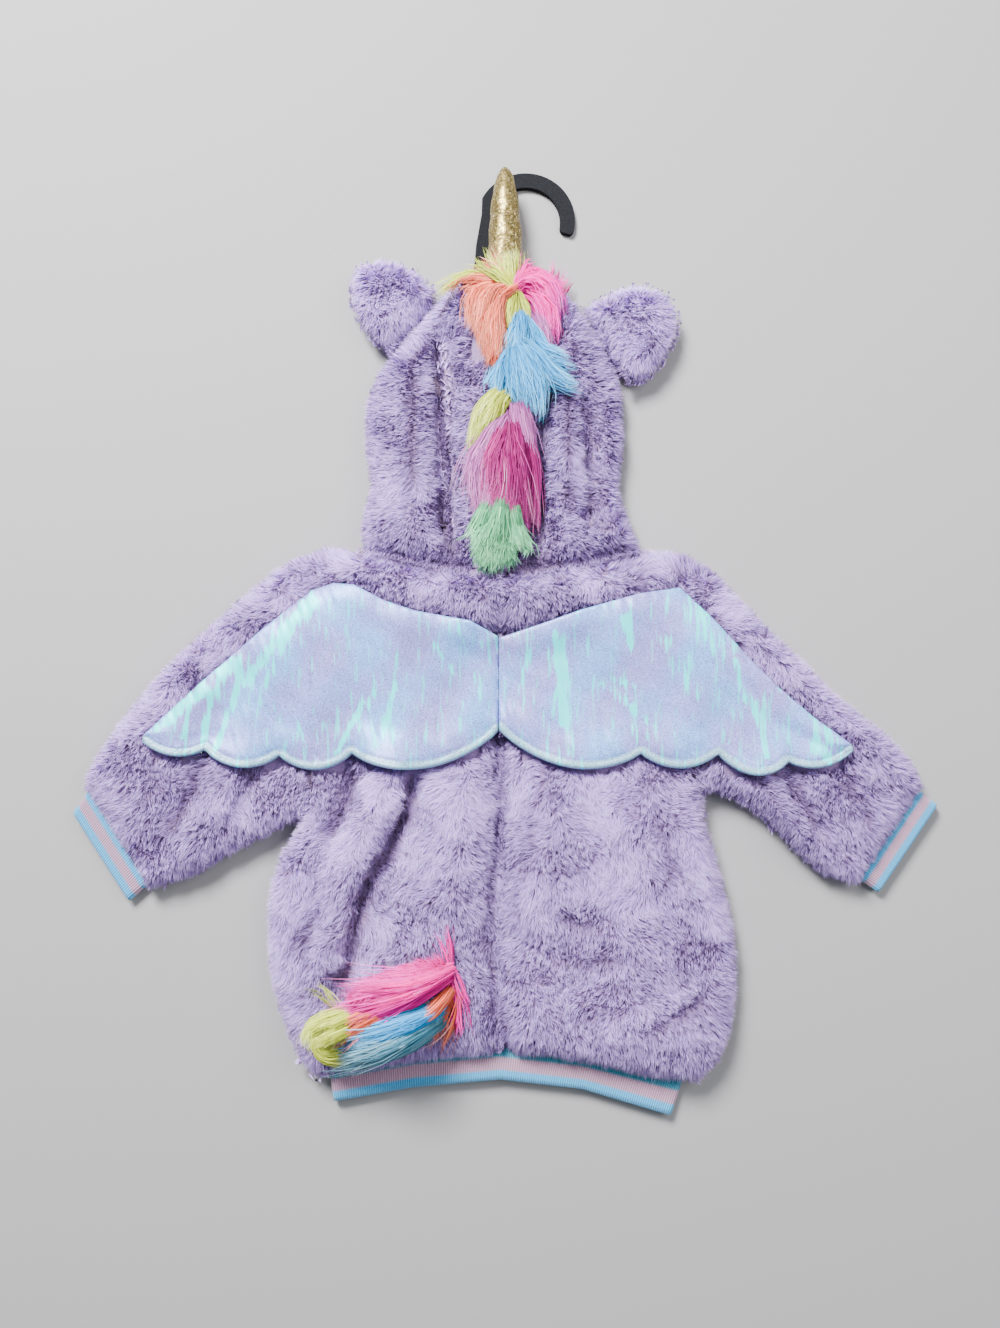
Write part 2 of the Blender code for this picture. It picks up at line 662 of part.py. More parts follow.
def hood_side(side):
    """A hood panel: over the top, round the outer fold and under to the face opening."""
    strip, fold, face = hood_lines(side)
    outer, inner = [], []
    for step in range(HOOD_STEPS + 1):
        along = step / HOOD_STEPS
        a, b, c = (line_at(line, along) for line in (strip, fold, face))
        width, under = math.dist(a, b), math.dist(b, c)
        reach = min(ROLL, width * WIDEST_ROLL)
        outer_row, inner_row = [], []
        for across in shares_with_roll(6, width, False, True, reach):
            full = bulge((1 - across) * width, reach)
            x, y = mix(a[0], b[0], across), mix(a[1], b[1], across)
            rise = top_height(x, y) - RIM
            outer_row.append((x, y, RIM + rise * full))
            inset = min(PLUSH, width * DEEPEST_WALL) * math.sqrt(1 - full * full)
            back = across - inset / width
            x, y = mix(a[0], b[0], back), mix(a[1], b[1], back)
            inner_row.append((x, y, max(RIM, RIM + (rise - PLUSH) * full)))
        turn = min(UNDER_ROLL, under * .5)
        for distance in (turn * UNDER_TURN, turn, mix(turn, under, .5), under):
            share = distance / under
            x, y = mix(b[0], c[0], share), mix(b[1], c[1], share)
            outer_row.append((x, y, PLATE_TOP * (1 - bulge(distance, turn))))
            inside = mix(min(PLUSH, under * .45), under, share) / under
            x, y = mix(b[0], c[0], inside), mix(b[1], c[1], inside)
            inner_row.append((x, y, PLATE_TOP))
        outer.append(outer_row)
        inner.append(inner_row)
    return wall("hood_" + side, outer, inner, "plush")


def hood_centre():
    """The strip between the hood's sides, from the nape over the crown to the face opening."""
    left, right = hood_lines("left")[0], hood_lines("right")[0]
    base = CROWN_LIFT + PLUSH
    outer, inner = [], []

    def add_row(a, b, y_shift, heights, inner_shift=None):
        rows = ([], [])
        for step in range(STRIP_COLUMNS + 1):
            share = step / STRIP_COLUMNS
            x = mix(a[0] + SEAM, b[0] - SEAM, share)
            y = mix(a[1], b[1], share)
            shifts = (y_shift, y_shift if inner_shift is None else inner_shift)
            for row, shift, height in zip(rows, shifts, heights(x, y)):
                row.append((x, y + shift, height))
        outer.append(rows[0])
        inner.append(rows[1])

    def on_top(x, y):
        return top_height(x, y), max(base + SEAM, top_height(x, y) - PLUSH)

    for step in range(HOOD_STEPS + 1):
        along = step / HOOD_STEPS
        if along > .5:
            add_row(line_at(left, along), line_at(right, along), 0, on_top)
        else:
            add_row(line_at(left, along), line_at(right, along), 0,
                    lambda x, y: (top_height(x, y), max(RIM, top_height(x, y) - PLUSH)))
    reach = CROWN_EDGE - left[-1][1]
    a, b = left[-1], right[-1]
    for angle in (35, 65, 90):
        full = math.cos(math.radians(angle))
        out = reach * math.sin(math.radians(angle))
        add_row(a, b, out, lambda x, y: (base + (top_height(x, y) - base) * full,
                                         base + SEAM + (top_height(x, y) - PLUSH - base) * full * .9),
                out - PLUSH * math.sin(math.radians(angle)))
    under = CROWN_EDGE - CROWN_RIM
    for distance in (UNDER_ROLL * UNDER_TURN, UNDER_ROLL, under * .6, under):
        low = CROWN_LIFT + PLUSH * (1 - bulge(distance, UNDER_ROLL))
        add_row(a, b, reach - distance, lambda x, y: (low, base),
                reach - mix(PLUSH, under, distance / under))
    return wall("hood_centre", outer, inner, "plush")


def rounded(points):
    """A closed outline with each corner cut once."""
    cut = []
    for a, b in zip(points, points[1:] + points[:1]):
        cut.append((mix(a[0], b[0], .25), mix(a[1], b[1], .25)))
        cut.append((mix(a[0], b[0], .75), mix(a[1], b[1], .75)))
    return cut


def ear(side):
    """A stuffed ear, rounded over and a little flat where it lies."""
    outline = rounded(EAR_OUTLINE[side])
    centre = [sum(point[axis] for point in outline) / len(outline) for axis in (0, 1)]
    rings = []
    for _, height, share in EAR_LAYERS:
        rings.append([(mix(centre[0], x, share), mix(centre[1], y, share), height)
                      for x, y in outline])
    return solid_of_rings("ear_" + side, rings, "plush")


def horn():
    """The stuffed horn, a turned shape with its sewn creases, lying along +Y."""
    mesh = bpy.data.meshes.new("horn")
    profile = [(radius, 0, length) for _, radius, length in reversed(HORN_PROFILE)]
    profile.append((0, 0, 0))
    mesh.from_pydata(profile, [(index, index + 1) for index in range(len(profile) - 1)], [])
    made = finish("horn", mesh, "horn")
    made.location = (0, HORN_BASE_Y, HORN_HEIGHT)
    made.rotation_euler = (math.radians(-90) + HORN_TILT, 0, 0)
    screw = made.modifiers.new("turn", "SCREW")
    screw.steps = 18
    screw.render_steps = 18
    screw.use_merge_vertices = True
    screw.merge_threshold = .00001
    screw.use_smooth_shade = True
    return made


def scallop_edge(side, x):
    """Y of the wing's lower edge at one X."""
    notches = WING_NOTCHES[side]
    for (a, b), lowest in zip(zip(notches, notches[1:]), WING_LOWEST[side]):
        share = (x - a[0]) / (b[0] - a[0])
        if share <= 1.0 + 1e-9:
            share = max(0.0, share)
            line = mix(a[1], b[1], share)
            middle = mix(a[1], b[1], .5)
            return line + (lowest - middle) * math.sin(math.pi * share) ** .75
    return notches[-1][1]


def wing(side):
    """A padded wing: a raised field inside a stitched border along its scallops."""
    start, end = WING_NOTCHES[side][0][0], WING_NOTCHES[side][-1][0]
    rings = []
    for step in range(WING_STEPS + 1):
        x = mix(start, end, step / WING_STEPS)
        low, high = scallop_edge(side, x), height_at_x(WING_TOP[side], x)
        tall = high - low
        border = min(WING_BORDER, tall * .3)
        places = [(0, WING_EDGE), (border * .5, WING_EDGE + .0006), (border, WING_EDGE - .0004),
                  (border * 1.7, WING_PAD), (tall * .45, WING_PAD), (tall * .72, WING_PAD),
                  (tall - border * .7, WING_PAD), (tall, WING_EDGE)]
        nearest_end = min(step, WING_STEPS - step) / WING_STEPS
        pad = min(1.0, .55 + nearest_end * 20)
        ring = []
        for distance, thick in places:
            y = low + min(distance, tall)
            ring.append((x, y, rest_height(x, y, WING_REACH) + thick * pad))
        for share in (1, .75, .5, .25, 0):
            y = mix(low, high, share)
            ring.append((x, y, rest_height(x, y, WING_REACH)))
        rings.append(ring)
    return solid_of_rings("wing_" + side, rings, "wing")


def lock(name):
    """A lock of long fur: a low heap along its own path, resting on what lies below."""
    rows = LOCKS[name]
    rings = []
    for index, (x, y, half, rise) in enumerate(rows):
        before, after = rows[max(0, index - 1)], rows[min(len(rows) - 1, index + 1)]
        along = Vector((after[0] - before[0], after[1] - before[1])).normalized()
        side = Vector((along.y, -along.x))
        base = rest_height(x, y, half * LOCK_REACH)
        ring = []
        for share in (-1, -.85, -.4, .4, .85, 1):
            up = rise * math.sqrt(1 - share * share) + LOCK_EDGE
            ring.append((x + side.x * half * share, y + side.y * half * share, base + up))
        for share in (.8, 0, -.8):
            ring.append((x + side.x * half * share, y + side.y * half * share, base))
        rings.append(ring)
    return solid_of_rings(name, rings, name)


def hanger():
    """The flat hanger: hook, stem and two arms, an open surface made solid."""
    mesh = bpy.data.meshes.new("hanger")
    shape = bmesh.new()
    path = []
    sections = HOOK_TIP + [(mix(HOOK_FROM, HOOK_TO, step / HOOK_STEPS), 1.0)
                           for step in range(HOOK_STEPS + 1)]
    for angle, share in sections:
        out = (math.cos(math.radians(angle)), math.sin(math.radians(angle)))
        sizes = (HOOK_RADIUS + HOOK_BAR / 2 * share, HOOK_RADIUS - HOOK_BAR / 2 * share)
        path.append([(HOOK_CENTRE[0] + out[0] * size, HOOK_CENTRE[1] + out[1] * size, 0)
                     for size in sizes])
    for x, y, half, lift in STEM_ROWS:
        path.append([(x - half, y, lift), (x + half, y, lift)])
    pairs = [[shape.verts.new(point) for point in pair] for pair in path]
    for first, second in zip(pairs, pairs[1:]):
        shape.faces.new((first[0], second[0], second[1], first[1]))
    for sign, corner in ((-1, 0), (1, 1)):
        last = [pairs[-2][corner], pairs[-1][corner]]
        for x, y, half in ARM_ROWS[1:]:
            pair = [shape.verts.new((sign * x, y + half, RIM)), shape.verts.new((sign * x, y - half, RIM))]
            shape.faces.new((last[0], last[1], pair[1], pair[0]))
            last = pair
    bmesh.ops.recalc_face_normals(shape, faces=shape.faces[:])
    if sum(face.normal.z for face in shape.faces) < 0:
        bmesh.ops.reverse_faces(shape, faces=shape.faces[:])
    shape.to_mesh(mesh)
    shape.free()
    made = finish("hanger", mesh, "hanger")
    thick = made.modifiers.new("plate", "SOLIDIFY")
    thick.thickness = HANGER_THICK
    thick.offset = 1.0
    return made


clear_scene()
costume = bpy.data.collections.new("unicorn_costume")
bpy.context.scene.collection.children.link(costume)
origin = bpy.data.objects.new("origin", None)
origin.location = (0, ORIGIN_Y, 0)
costume.objects.link(origin)
for hand in ("left", "right"):
    body_back(hand)
    sleeve(hand)
    cuff(hand)
    hood_side(hand)
    ear(hand)
    wing(hand)
body_front()
hood_centre()
rib_tube("hem_band", BAND_HIGH, BAND_LOW)
horn()
hanger()
for lock_name in LOCKS:
    lock(lock_name)
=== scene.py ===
"""Looks of the hooded unicorn costume: plush pile, iridescent wings, rib knit, fur and horn.

Metres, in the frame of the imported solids: +Y runs from the hem to the horn, +Z is up.
"""

import math

import bmesh
import bpy
import numpy as np
from mathutils import Matrix, Vector
from mathutils.bvhtree import BVHTree


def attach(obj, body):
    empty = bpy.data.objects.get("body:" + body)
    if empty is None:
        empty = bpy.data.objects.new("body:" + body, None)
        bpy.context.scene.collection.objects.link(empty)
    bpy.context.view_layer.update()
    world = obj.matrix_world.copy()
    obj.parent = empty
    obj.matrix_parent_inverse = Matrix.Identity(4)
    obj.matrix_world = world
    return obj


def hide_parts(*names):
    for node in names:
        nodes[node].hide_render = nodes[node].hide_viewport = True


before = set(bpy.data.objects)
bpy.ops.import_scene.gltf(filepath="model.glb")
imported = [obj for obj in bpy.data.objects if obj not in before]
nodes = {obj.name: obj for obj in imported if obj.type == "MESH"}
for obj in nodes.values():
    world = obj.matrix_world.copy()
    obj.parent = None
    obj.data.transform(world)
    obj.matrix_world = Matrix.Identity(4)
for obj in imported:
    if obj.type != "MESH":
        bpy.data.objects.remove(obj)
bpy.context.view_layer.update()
rng = np.random.default_rng(7)

SIDES = ("left", "right")
UP = (0, 0, 1)
DROP_FROM = .2
DROP_REACH = .3
TURN = 2 * math.pi


# Camera, light and floor

def add_camera():
    data = bpy.data.cameras.new("camera")
    data.sensor_width = 36
    data.lens = 28.19
    camera = bpy.data.objects.new("camera", data)
    camera.location = (-.0035, -.083, .7063)
    camera.rotation_euler = (math.radians(4.65), 0, 0)
    bpy.context.scene.collection.objects.link(camera)
    bpy.context.scene.camera = camera


def add_light(name, place, target, size, power, colour):
    data = bpy.data.lights.new(name, "AREA")
    data.shape = "RECTANGLE"
    data.size, data.size_y = size
    data.energy = power
    data.color = colour
    light = bpy.data.objects.new(name, data)
    light.location = place
    aim = Vector(target) - Vector(place)
    light.rotation_euler = aim.to_track_quat("-Z", "Y").to_euler()
    bpy.context.scene.collection.objects.link(light)


def add_world():
    world = bpy.data.worlds.new("world")
    world.use_nodes = True
    sky = world.node_tree.nodes["Background"]
    sky.inputs["Color"].default_value = (.80, .88, 1.0, 1)
    sky.inputs["Strength"].default_value = .36
    bpy.context.scene.world = world


def add_floor():
    bpy.ops.mesh.primitive_plane_add(size=6, location=(0, 0, -.0002))
    floor = bpy.context.object
    floor.name = "floor"
    material, _, shader = new_material("floor", .75)
    shader.inputs["Base Color"].default_value = (.335, .33, .325, 1)
    floor.data.materials.append(material)


# Small helpers

def waves(points, scale, seed, count=7):
    """Smooth seeded noise of about -1 to 1 at an array of points."""
    draw = np.random.default_rng(seed)
    total = np.zeros(len(points))
    for _ in range(count):
        direction = draw.normal(size=points.shape[1])
        direction /= np.linalg.norm(direction)
        phase = draw.uniform(0, TURN)
        pitch = TURN / (scale * draw.uniform(.7, 1.5))
        total += np.sin(points @ direction * pitch + phase)
    return total / math.sqrt(count) * .8


def unit(vectors):
    return vectors / np.maximum(np.linalg.norm(vectors, axis=1, keepdims=True), 1e-9)


def ease(values):
    """Values held between 0 and 1."""
    return np.clip(values, 0, 1)


def rounding(shares):
    """Height share of a quarter round at shares of its width."""
    return np.sqrt(ease(1 - (1 - ease(shares)) ** 2))


def to_segment(points, start, end):
    """Distance of points in plan to a segment, and their share along it."""
    start, end = np.array(start), np.array(end)
    axis = end - start
    share = ease(((points[:, :2] - start) @ axis) / (axis @ axis))
    nearest = start + share[:, None] * axis
    return np.linalg.norm(points[:, :2] - nearest, axis=1), share


def new_object(name, mesh, material):
    mesh.materials.append(material)
    piece = bpy.data.objects.new(name, mesh)
    bpy.context.scene.collection.objects.link(piece)
    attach(piece, "root")
    return piece


def mesh_of(name, points, faces, colours=None, normals=None):
    """A mesh from numpy points and faces of one size, with a colour and a normal for each point."""
    mesh = bpy.data.meshes.new(name)
    faces = np.asarray(faces, dtype=np.int32)
    sides = faces.shape[1]
    mesh.vertices.add(len(points))
    mesh.vertices.foreach_set("co", np.asarray(points, dtype=np.float32).ravel())
    mesh.loops.add(faces.size)
    mesh.loops.foreach_set("vertex_index", faces.ravel())
    mesh.polygons.add(len(faces))
    mesh.polygons.foreach_set("loop_start", np.arange(0, faces.size, sides, dtype=np.int32))
    mesh.polygons.foreach_set("loop_total", np.full(len(faces), sides, dtype=np.int32))
    mesh.update(calc_edges=True)
    if colours is not None:
        layer = mesh.color_attributes.new("tone", "FLOAT_COLOR", "POINT")
        layer.data.foreach_set("color", np.asarray(colours, dtype=np.float32).ravel())
    if normals is not None:
        mesh.normals_split_custom_set_from_vertices(normals.tolist())
    return mesh


def face_outward(mesh, fill=False):
    """Turn a mesh's faces outward, with its open ends closed where asked."""
    shape = bmesh.new()
    shape.from_mesh(mesh)
    if fill:
        bmesh.ops.holes_fill(shape, edges=shape.edges[:])
    bmesh.ops.recalc_face_normals(shape, faces=shape.faces[:])
    shape.to_mesh(mesh)
    shape.free()
    mesh.shade_smooth()


def surface_of(name):
    """Merged points, triangles and point normals of a solid."""
    shape = bmesh.new()
    shape.from_mesh(nodes[name].data)
    bmesh.ops.remove_doubles(shape, verts=shape.verts[:], dist=1e-6)
    bmesh.ops.triangulate(shape, faces=shape.faces[:])
    shape.normal_update()
    shape.verts.index_update()
    points = np.array([vert.co[:] for vert in shape.verts])
    normals = np.array([vert.normal[:] for vert in shape.verts])
    triangles = np.array([[vert.index for vert in face.verts] for face in shape.faces])
    shape.free()
    return points, triangles, normals


def crosses(points, triangles):
    """Each triangle's normal, twice its area long."""
    a, b, c = (points[triangles[:, index]] for index in range(3))
    return np.cross(b - a, c - a)


def tree_of(names):
    points, triangles, start = [], [], 0
    for name in names:
        own_points, own_triangles, _ = surface_of(name)
        points.append(own_points)
        triangles.append(own_triangles + start)
        start += len(own_points)
    return BVHTree.FromPolygons(np.vstack(points).tolist(), np.vstack(triangles).tolist())


def is_free(tree, point, normal, reach=.060):
    """Whether nothing of a tree lies in front of a point."""
    origin = Vector(point) + Vector(normal) * .0004
    return tree.ray_cast(origin, Vector(normal), reach)[0] is None


def uncovered(places):
    """Which places have no wing over them."""
    return np.array([is_free(wing_tree, place, UP, .030) for place in places])


def drop(tree, x, y):
    """Where a line straight down meets a tree, or None."""
    return tree.ray_cast(Vector((x, y, DROP_FROM)), Vector((0, 0, -1)), DROP_REACH)[0]


# Materials

MIX_A, MIX_B, MIX_OUT = 6, 7, 2


def new_material(name, roughness, sheen=0.0, metallic=0.0, specular=.5):
    material = bpy.data.materials.new(name)
    material.use_nodes = True
    shader = material.node_tree.nodes["Principled BSDF"]
    shader.inputs["Roughness"].default_value = roughness
    shader.inputs["Metallic"].default_value = metallic
    shader.inputs["Sheen Weight"].default_value = sheen
    shader.inputs["Specular IOR Level"].default_value = specular
    return material, material.node_tree, shader


def link(source, output, target, entry):
    source.id_data.links.new(source.outputs[output], target.inputs[entry])


def add_node(tree, kind, **inputs):
    node = tree.nodes.new(kind)
    for key, value in inputs.items():
        node.inputs[key.replace("_", " ")].default_value = value
    return node


def tone_parts(tree):
    """The three parts of the points' tone."""
    tone = tree.nodes.new("ShaderNodeVertexColor")
    tone.layer_name = "tone"
    parts = tree.nodes.new("ShaderNodeSeparateColor")
    link(tone, "Color", parts, "Color")
    return parts


def texture(tree, kind, **inputs):
    """A texture in the piece's own coordinates."""
    place = tree.nodes.new("ShaderNodeTexCoord")
    made = add_node(tree, kind, **inputs)
    link(place, "Object", made, "Vector")
    return made


def ramp(source, output, stops):
    """Colours read by one output of a node."""
    node = source.id_data.nodes.new("ShaderNodeValToRGB")
    while len(node.color_ramp.elements) < len(stops):
        node.color_ramp.elements.new(1.0)
    for element, (place, colour) in zip(node.color_ramp.elements, stops):
        element.position = place
        element.color = (*colour, 1)
    link(source, output, node, "Fac")
    return node


def ranged(source, output, **limits):
    """One output of a node brought to another range."""
    node = add_node(source.id_data, "ShaderNodeMapRange", **limits)
    link(source, output, node, "Value")
    return node


def relief(shader, source, output, strength, distance):
    """A fine bump from one output of a texture."""
    bump = add_node(shader.id_data, "ShaderNodeBump", Strength=strength, Distance=distance)
    link(source, output, bump, "Height")
    link(bump, "Normal", shader, "Normal")


def tint(shader, colours, factor, output):
    """Give a shader a ramp's colour times a factor."""
    scaled = shader.id_data.nodes.new("ShaderNodeVectorMath")
    scaled.operation = "SCALE"
    link(colours, "Color", scaled, 0)
    link(factor, output, scaled, "Scale")
    link(scaled, "Vector", shader, "Base Color")


def mixed(source, output, over=None, blend="MIX"):
    """A mix over one output of a node, with a fixed second colour where one is given."""
    node = source.id_data.nodes.new("ShaderNodeMix")
    node.data_type = "RGBA"
    node.blend_type = blend
    link(source, output, node, MIX_A)
    if over:
        node.inputs[MIX_B].default_value = (*over, 1)
    return node


def pile_material(name, stops, roughness=.85, sheen=.10):
    """Fibre: dark at the root, light at the tip, with a random shade for each clump."""
    material, tree, shader = new_material(name, roughness, sheen, specular=.15)
    parts = tone_parts(tree)
    shade = ranged(parts, "Green", From_Min=-.8, To_Min=.38, To_Max=1.20)
    tint(shader, ramp(parts, "Red", stops), shade, "Result")
    return material


def cloth_material(name, colour, darker):
    """A plain backing cloth with a fine knit bump."""
    material, tree, shader = new_material(name, .9, .3)
    fleck = texture(tree, "ShaderNodeTexNoise", Scale=900.0, Detail=3.0)
    link(ramp(fleck, "Fac", [(.35, darker), (.65, colour)]), "Color", shader, "Base Color")
    relief(shader, fleck, "Fac", .25, .0006)
    return material


def wing_material(lean):
    """Pale iridescent film: lavender grey with painted aqua gleams, an aqua-grey hem of painted reflection
    and a fine woven grain whose bright specks are painted sparkle.
    """
    material, tree, shader = new_material("wing_film", .42, .0, .15)
    parts = tone_parts(tree)
    grain = texture(tree, "ShaderNodeTexNoise", Scale=1400.0, Detail=2.0)
    stretch = texture(tree, "ShaderNodeMapping")
    stretch.inputs["Rotation"].default_value = (0, 0, math.radians(lean))
    stretch.inputs["Scale"].default_value = (420, 50, 50)
    drag = add_node(tree, "ShaderNodeTexNoise", Scale=1.0, Detail=4.0)
    link(stretch, "Vector", drag, "Vector")
    cloth = ramp(parts, "Blue", [(.0, (.29, .28, .67)), (.5, (.27, .34, .80)), (1.0, (.21, .43, .90))])
    # The hem is tinted aqua-grey as painted reflection along the scallops.
    hem_reflection = mixed(cloth, "Color", (.24, .44, .56))
    link(parts, "Green", hem_reflection, "Factor")
    dotted = mixed(hem_reflection, MIX_OUT, blend="MULTIPLY")
    dotted.inputs["Factor"].default_value = 1.0
    # The grain darkens and brightens the film; its bright specks are painted sparkle.
    fleck = ramp(grain, "Fac", [(.32, (.52, .52, .56)), (.68, (1.42, 1.42, 1.38))])
    link(fleck, "Color", dotted, MIX_B)
    # Stretched noise breaks the painted gleams into streaks.
    streak = ranged(drag, "Fac", From_Min=.34, From_Max=.66, To_Min=-.66, To_Max=.30)
    raised = tree.nodes.new("ShaderNodeMath")
    link(parts, "Red", raised, 0)
    link(streak, "Result", raised, 1)
    painted_gleam = ranged(raised, "Value", From_Min=.08, From_Max=.40)
    lit = mixed(dotted, MIX_OUT, (.035, .92, .92))
    link(painted_gleam, "Result", lit, "Factor")
    link(lit, MIX_OUT, shader, "Base Color")
    relief(shader, grain, "Fac", .35, .0004)
    return material


def rib_material(name, stripes):
    """Striped rib: colours down the band, with painted shade in the grooves."""
    material, tree, shader = new_material(name, .85, .35)
    parts = tone_parts(tree)
    shade = ranged(parts, "Green", To_Min=.55, To_Max=1.08)
    fleck = texture(tree, "ShaderNodeTexNoise", Scale=1600.0, Detail=2.0)
    speck = ranged(fleck, "Fac", From_Min=.3, From_Max=.7, To_Min=.80, To_Max=1.15)
    both = tree.nodes.new("ShaderNodeMath")
    both.operation = "MULTIPLY"
    link(shade, "Result", both, 0)
    link(speck, "Result", both, 1)
    tint(shader, ramp(parts, "Red", stripes), both, "Value")
    relief(shader, fleck, "Fac", .4, .0004)
    return material


def glitter_material():
    """Gold glitter cloth: bright flakes over a dull gold ground."""
    material, tree, shader = new_material("glitter", .38, .0, .85)
    flakes = texture(tree, "ShaderNodeTexVoronoi", Scale=1100.0)
    parts = tree.nodes.new("ShaderNodeSeparateColor")
    link(flakes, "Color", parts, "Color")
    golds = [(.0, (.155, .11, .034)), (.45, (.23, .17, .052)), (.8, (.32, .25, .085)),
             (1.0, (.62, .52, .255))]
    link(ramp(parts, "Red", golds), "Color", shader, "Base Color")
    link(ranged(parts, "Green", To_Min=.22, To_Max=.55), "Result", shader, "Roughness")
    relief(shader, parts, "Blue", .6, .0004)
    return material


def plastic_material():
    material, tree, shader = new_material("hanger_plastic", .70, specular=.10)
    grain = texture(tree, "ShaderNodeTexNoise", Scale=700.0, Detail=4.0)
    blacks = [(.3, (.004, .0045, .006)), (.7, (.010, .011, .013))]
    link(ramp(grain, "Fac", blacks), "Color", shader, "Base Color")
    relief(shader, grain, "Fac", .25, .0003)
    return material


# Outlines of the wings

WING_TOP = {
    "left": [(-.0047, -.0095), (-.023, .000), (-.060, .007), (-.080, .014), (-.099, .024),
             (-.113, .0255), (-.127, .021), (-.156, -.002), (-.192, -.033), (-.220, -.059),
             (-.2365, -.075)],
    "right": [(-.0043, -.0105), (.023, -.002), (.049, .007), (.087, .018), (.115, .0225),
              (.134, .004), (.157, -.021), (.180, -.044), (.202, -.063), (.2265, -.081)],
}
WING_NOTCHES = {
    "left": [(-.0047, -.0715), (-.100, -.0860), (-.1480, -.0875), (-.1960, -.0835),
             (-.2365, -.0785)],
    "right": [(-.0043, -.0705), (.088, -.0860), (.139, -.0865), (.184, -.0915), (.2265, -.0845)],
}
WING_LOWEST = {
    "left": [-.0960, -.0970, -.0955, -.0880],
    "right": [-.0955, -.0960, -.1005, -.0955],
}


# Plush

PLUSH_NODES = ["back_left", "back_right", "sleeve_left", "sleeve_right", "hood_left", "hood_right",
               "hood_centre", "ear_left", "ear_right", "front"]
PILE = .0055
PILE_WIDTH = .00023
CREASE_EDGE = .0035
LEAST_CREASE = .0006
DEEP = .0050
SIDE_RISE = -.4
LOWEST_SHELL = .0010
LOWEST_PILE = .0011
SCATTER_TRIES = 5
UNDER_SPACING = .0075
UNDER_EACH = 8
UNDER_HEIGHT = .0012
JOIN_STEP = .0017
JOIN_REACH = .0045
JOIN_EACH = 18
BRUSHED = [
    # patches where the pile lies flat, with painted sheen on them: X, Y, radius
    (-.083, -.110, .015), (-.106, -.140, .017), (-.138, -.178, .018), (-.152, -.216, .016),
    (-.037, -.116, .026), (-.054, -.146, .020), (-.084, -.200, .013), (-.095, -.222, .011),
    (.010, -.110, .018), (.062, -.116, .028), (.076, -.166, .024), (.128, -.155, .018),
    (.138, -.187, .015), (.016, -.181, .014), (-.160, -.020, .014), (-.070, .090, .016),
    (.050, .110, .014), (-.180, -.120, .012), (-.050, .210, .016), (.160, -.020, .012),
    (-.102, .044, .014), (-.146, .016, .013), (-.186, -.016, .013), (-.222, -.048, .012),
    (.104, .042, .014), (.146, .010, .013), (.186, -.028, .013), (.218, -.058, .012),
    (-.052, .028, .012), (.056, .028, .012),
]
CREASES = [
    # line of points, half width, depth or rise if negative, how far the pile leans from it; a depth also
    # sets painted shade
    ([(-.0035, -.012), (-.0035, -.140), (-.0085, -.170), (-.0100, -.200), (-.0075, -.228),
      (.0000, -.262), (.0005, -.284)], .0050, .0030, .5),
    ([(-.0594, -.098), (-.066, -.126), (-.0824, -.155), (-.0956, -.187), (-.0989, -.2125),
      (-.1088, -.238)], .0052, .0060, .8),
    ([(-.071, -.102), (-.079, -.130), (-.095, -.158), (-.108, -.190), (-.111, -.215)],
     .0080, -.0028, .0),
    ([(-.119, -.184), (-.1355, -.2125)], .0048, .0030, .5),
    ([(-.099, -.093), (-.107, -.120), (-.1157, -.143)], .0058, .0044, .6),
    ([(-.0385, .043), (-.0410, .120), (-.0425, .205)], .0054, .0052, .4),
    ([(.019, .039), (.022, .120), (.028, .205)], .0054, .0050, .4),
    ([(.060, .070), (.056, .150)], .0048, .0036, .5),
    ([(-.064, .078), (-.063, .120), (-.062, .176)], .0046, .0036, .5),
    ([(.044, .075), (.044, .110), (.041, .165)], .0044, .0036, .5),
    ([(-.095, .053), (-.050, .041), (-.003, .036), (.045, .041), (.090, .052)], .0046, .0030, .6),
    ([(-.118, .030), (-.101, .036), (-.055, .018), (-.003, .002), (.048, .018), (.116, .036)],
     .0060, -.0030, .0),
    ([(.030, -.092), (.018, -.125), (.010, -.165), (.006, -.197)], .0050, .0022, .5),
    ([(.034, -.190), (.048, -.196), (.066, -.192)], .0046, .0030, .5),
    ([(.030, -.214), (.052, -.222), (.074, -.216)], .0046, .0026, .5),
    ([(.088, -.262), (.112, -.252), (.134, -.240)], .0050, .0034, .6),
    ([(.100, -.130), (.108, -.160), (.100, -.180)], .0050, .0020, .4),
    ([(-.200, -.095), (-.222, -.142)], .0055, .0036, .8),
    ([(-.166, -.097), (-.186, -.133)], .0052, .0030, .7),
    ([(-.226, -.100), (-.240, -.122)], .0045, .0026, .6),
    ([(.184, -.099), (.212, -.143)], .0055, .0036, .8),
    ([(.160, -.097), (.184, -.129)], .0048, .0028, .7),
    ([(.222, -.101), (.240, -.133)], .0048, .0026, .7),
    (WING_TOP["left"], .0032, .0026, .3),
    (WING_TOP["right"], .0032, .0026, .3),
]
JOINS = [
    # seams that the pile grows across: centre back, hood, neck, armholes, foot of each ear
    [(-.0030, -.005), (-.0030, -.280)],
    [(-.040, .036), (-.039, .063), (-.039, .093), (-.0415, .121), (-.0435, .149),
     (-.0445, .175), (-.0430, .199), (-.0355, .218), (-.024, .232)],
    [(.020, .032), (.018, .063), (.018, .091), (.021, .117), (.024, .145), (.027, .173),
     (.028, .197), (.027, .216), (.022, .232)],
    [(-.097, .0515), (-.040, .0370), (-.003, .0300), (.020, .0320), (.093, .0505)],
    [(-.122, .053), (-.134, -.128)], [(.122, .049), (.130, -.112)],
    [(-.0480, .2320), (-.0785, .1885)], [(.0540, .2220), (.0845, .1680)],
    [(-.0510, .2290), (-.0800, .1860)], [(.0560, .2180), (.0860, .1650)],
]


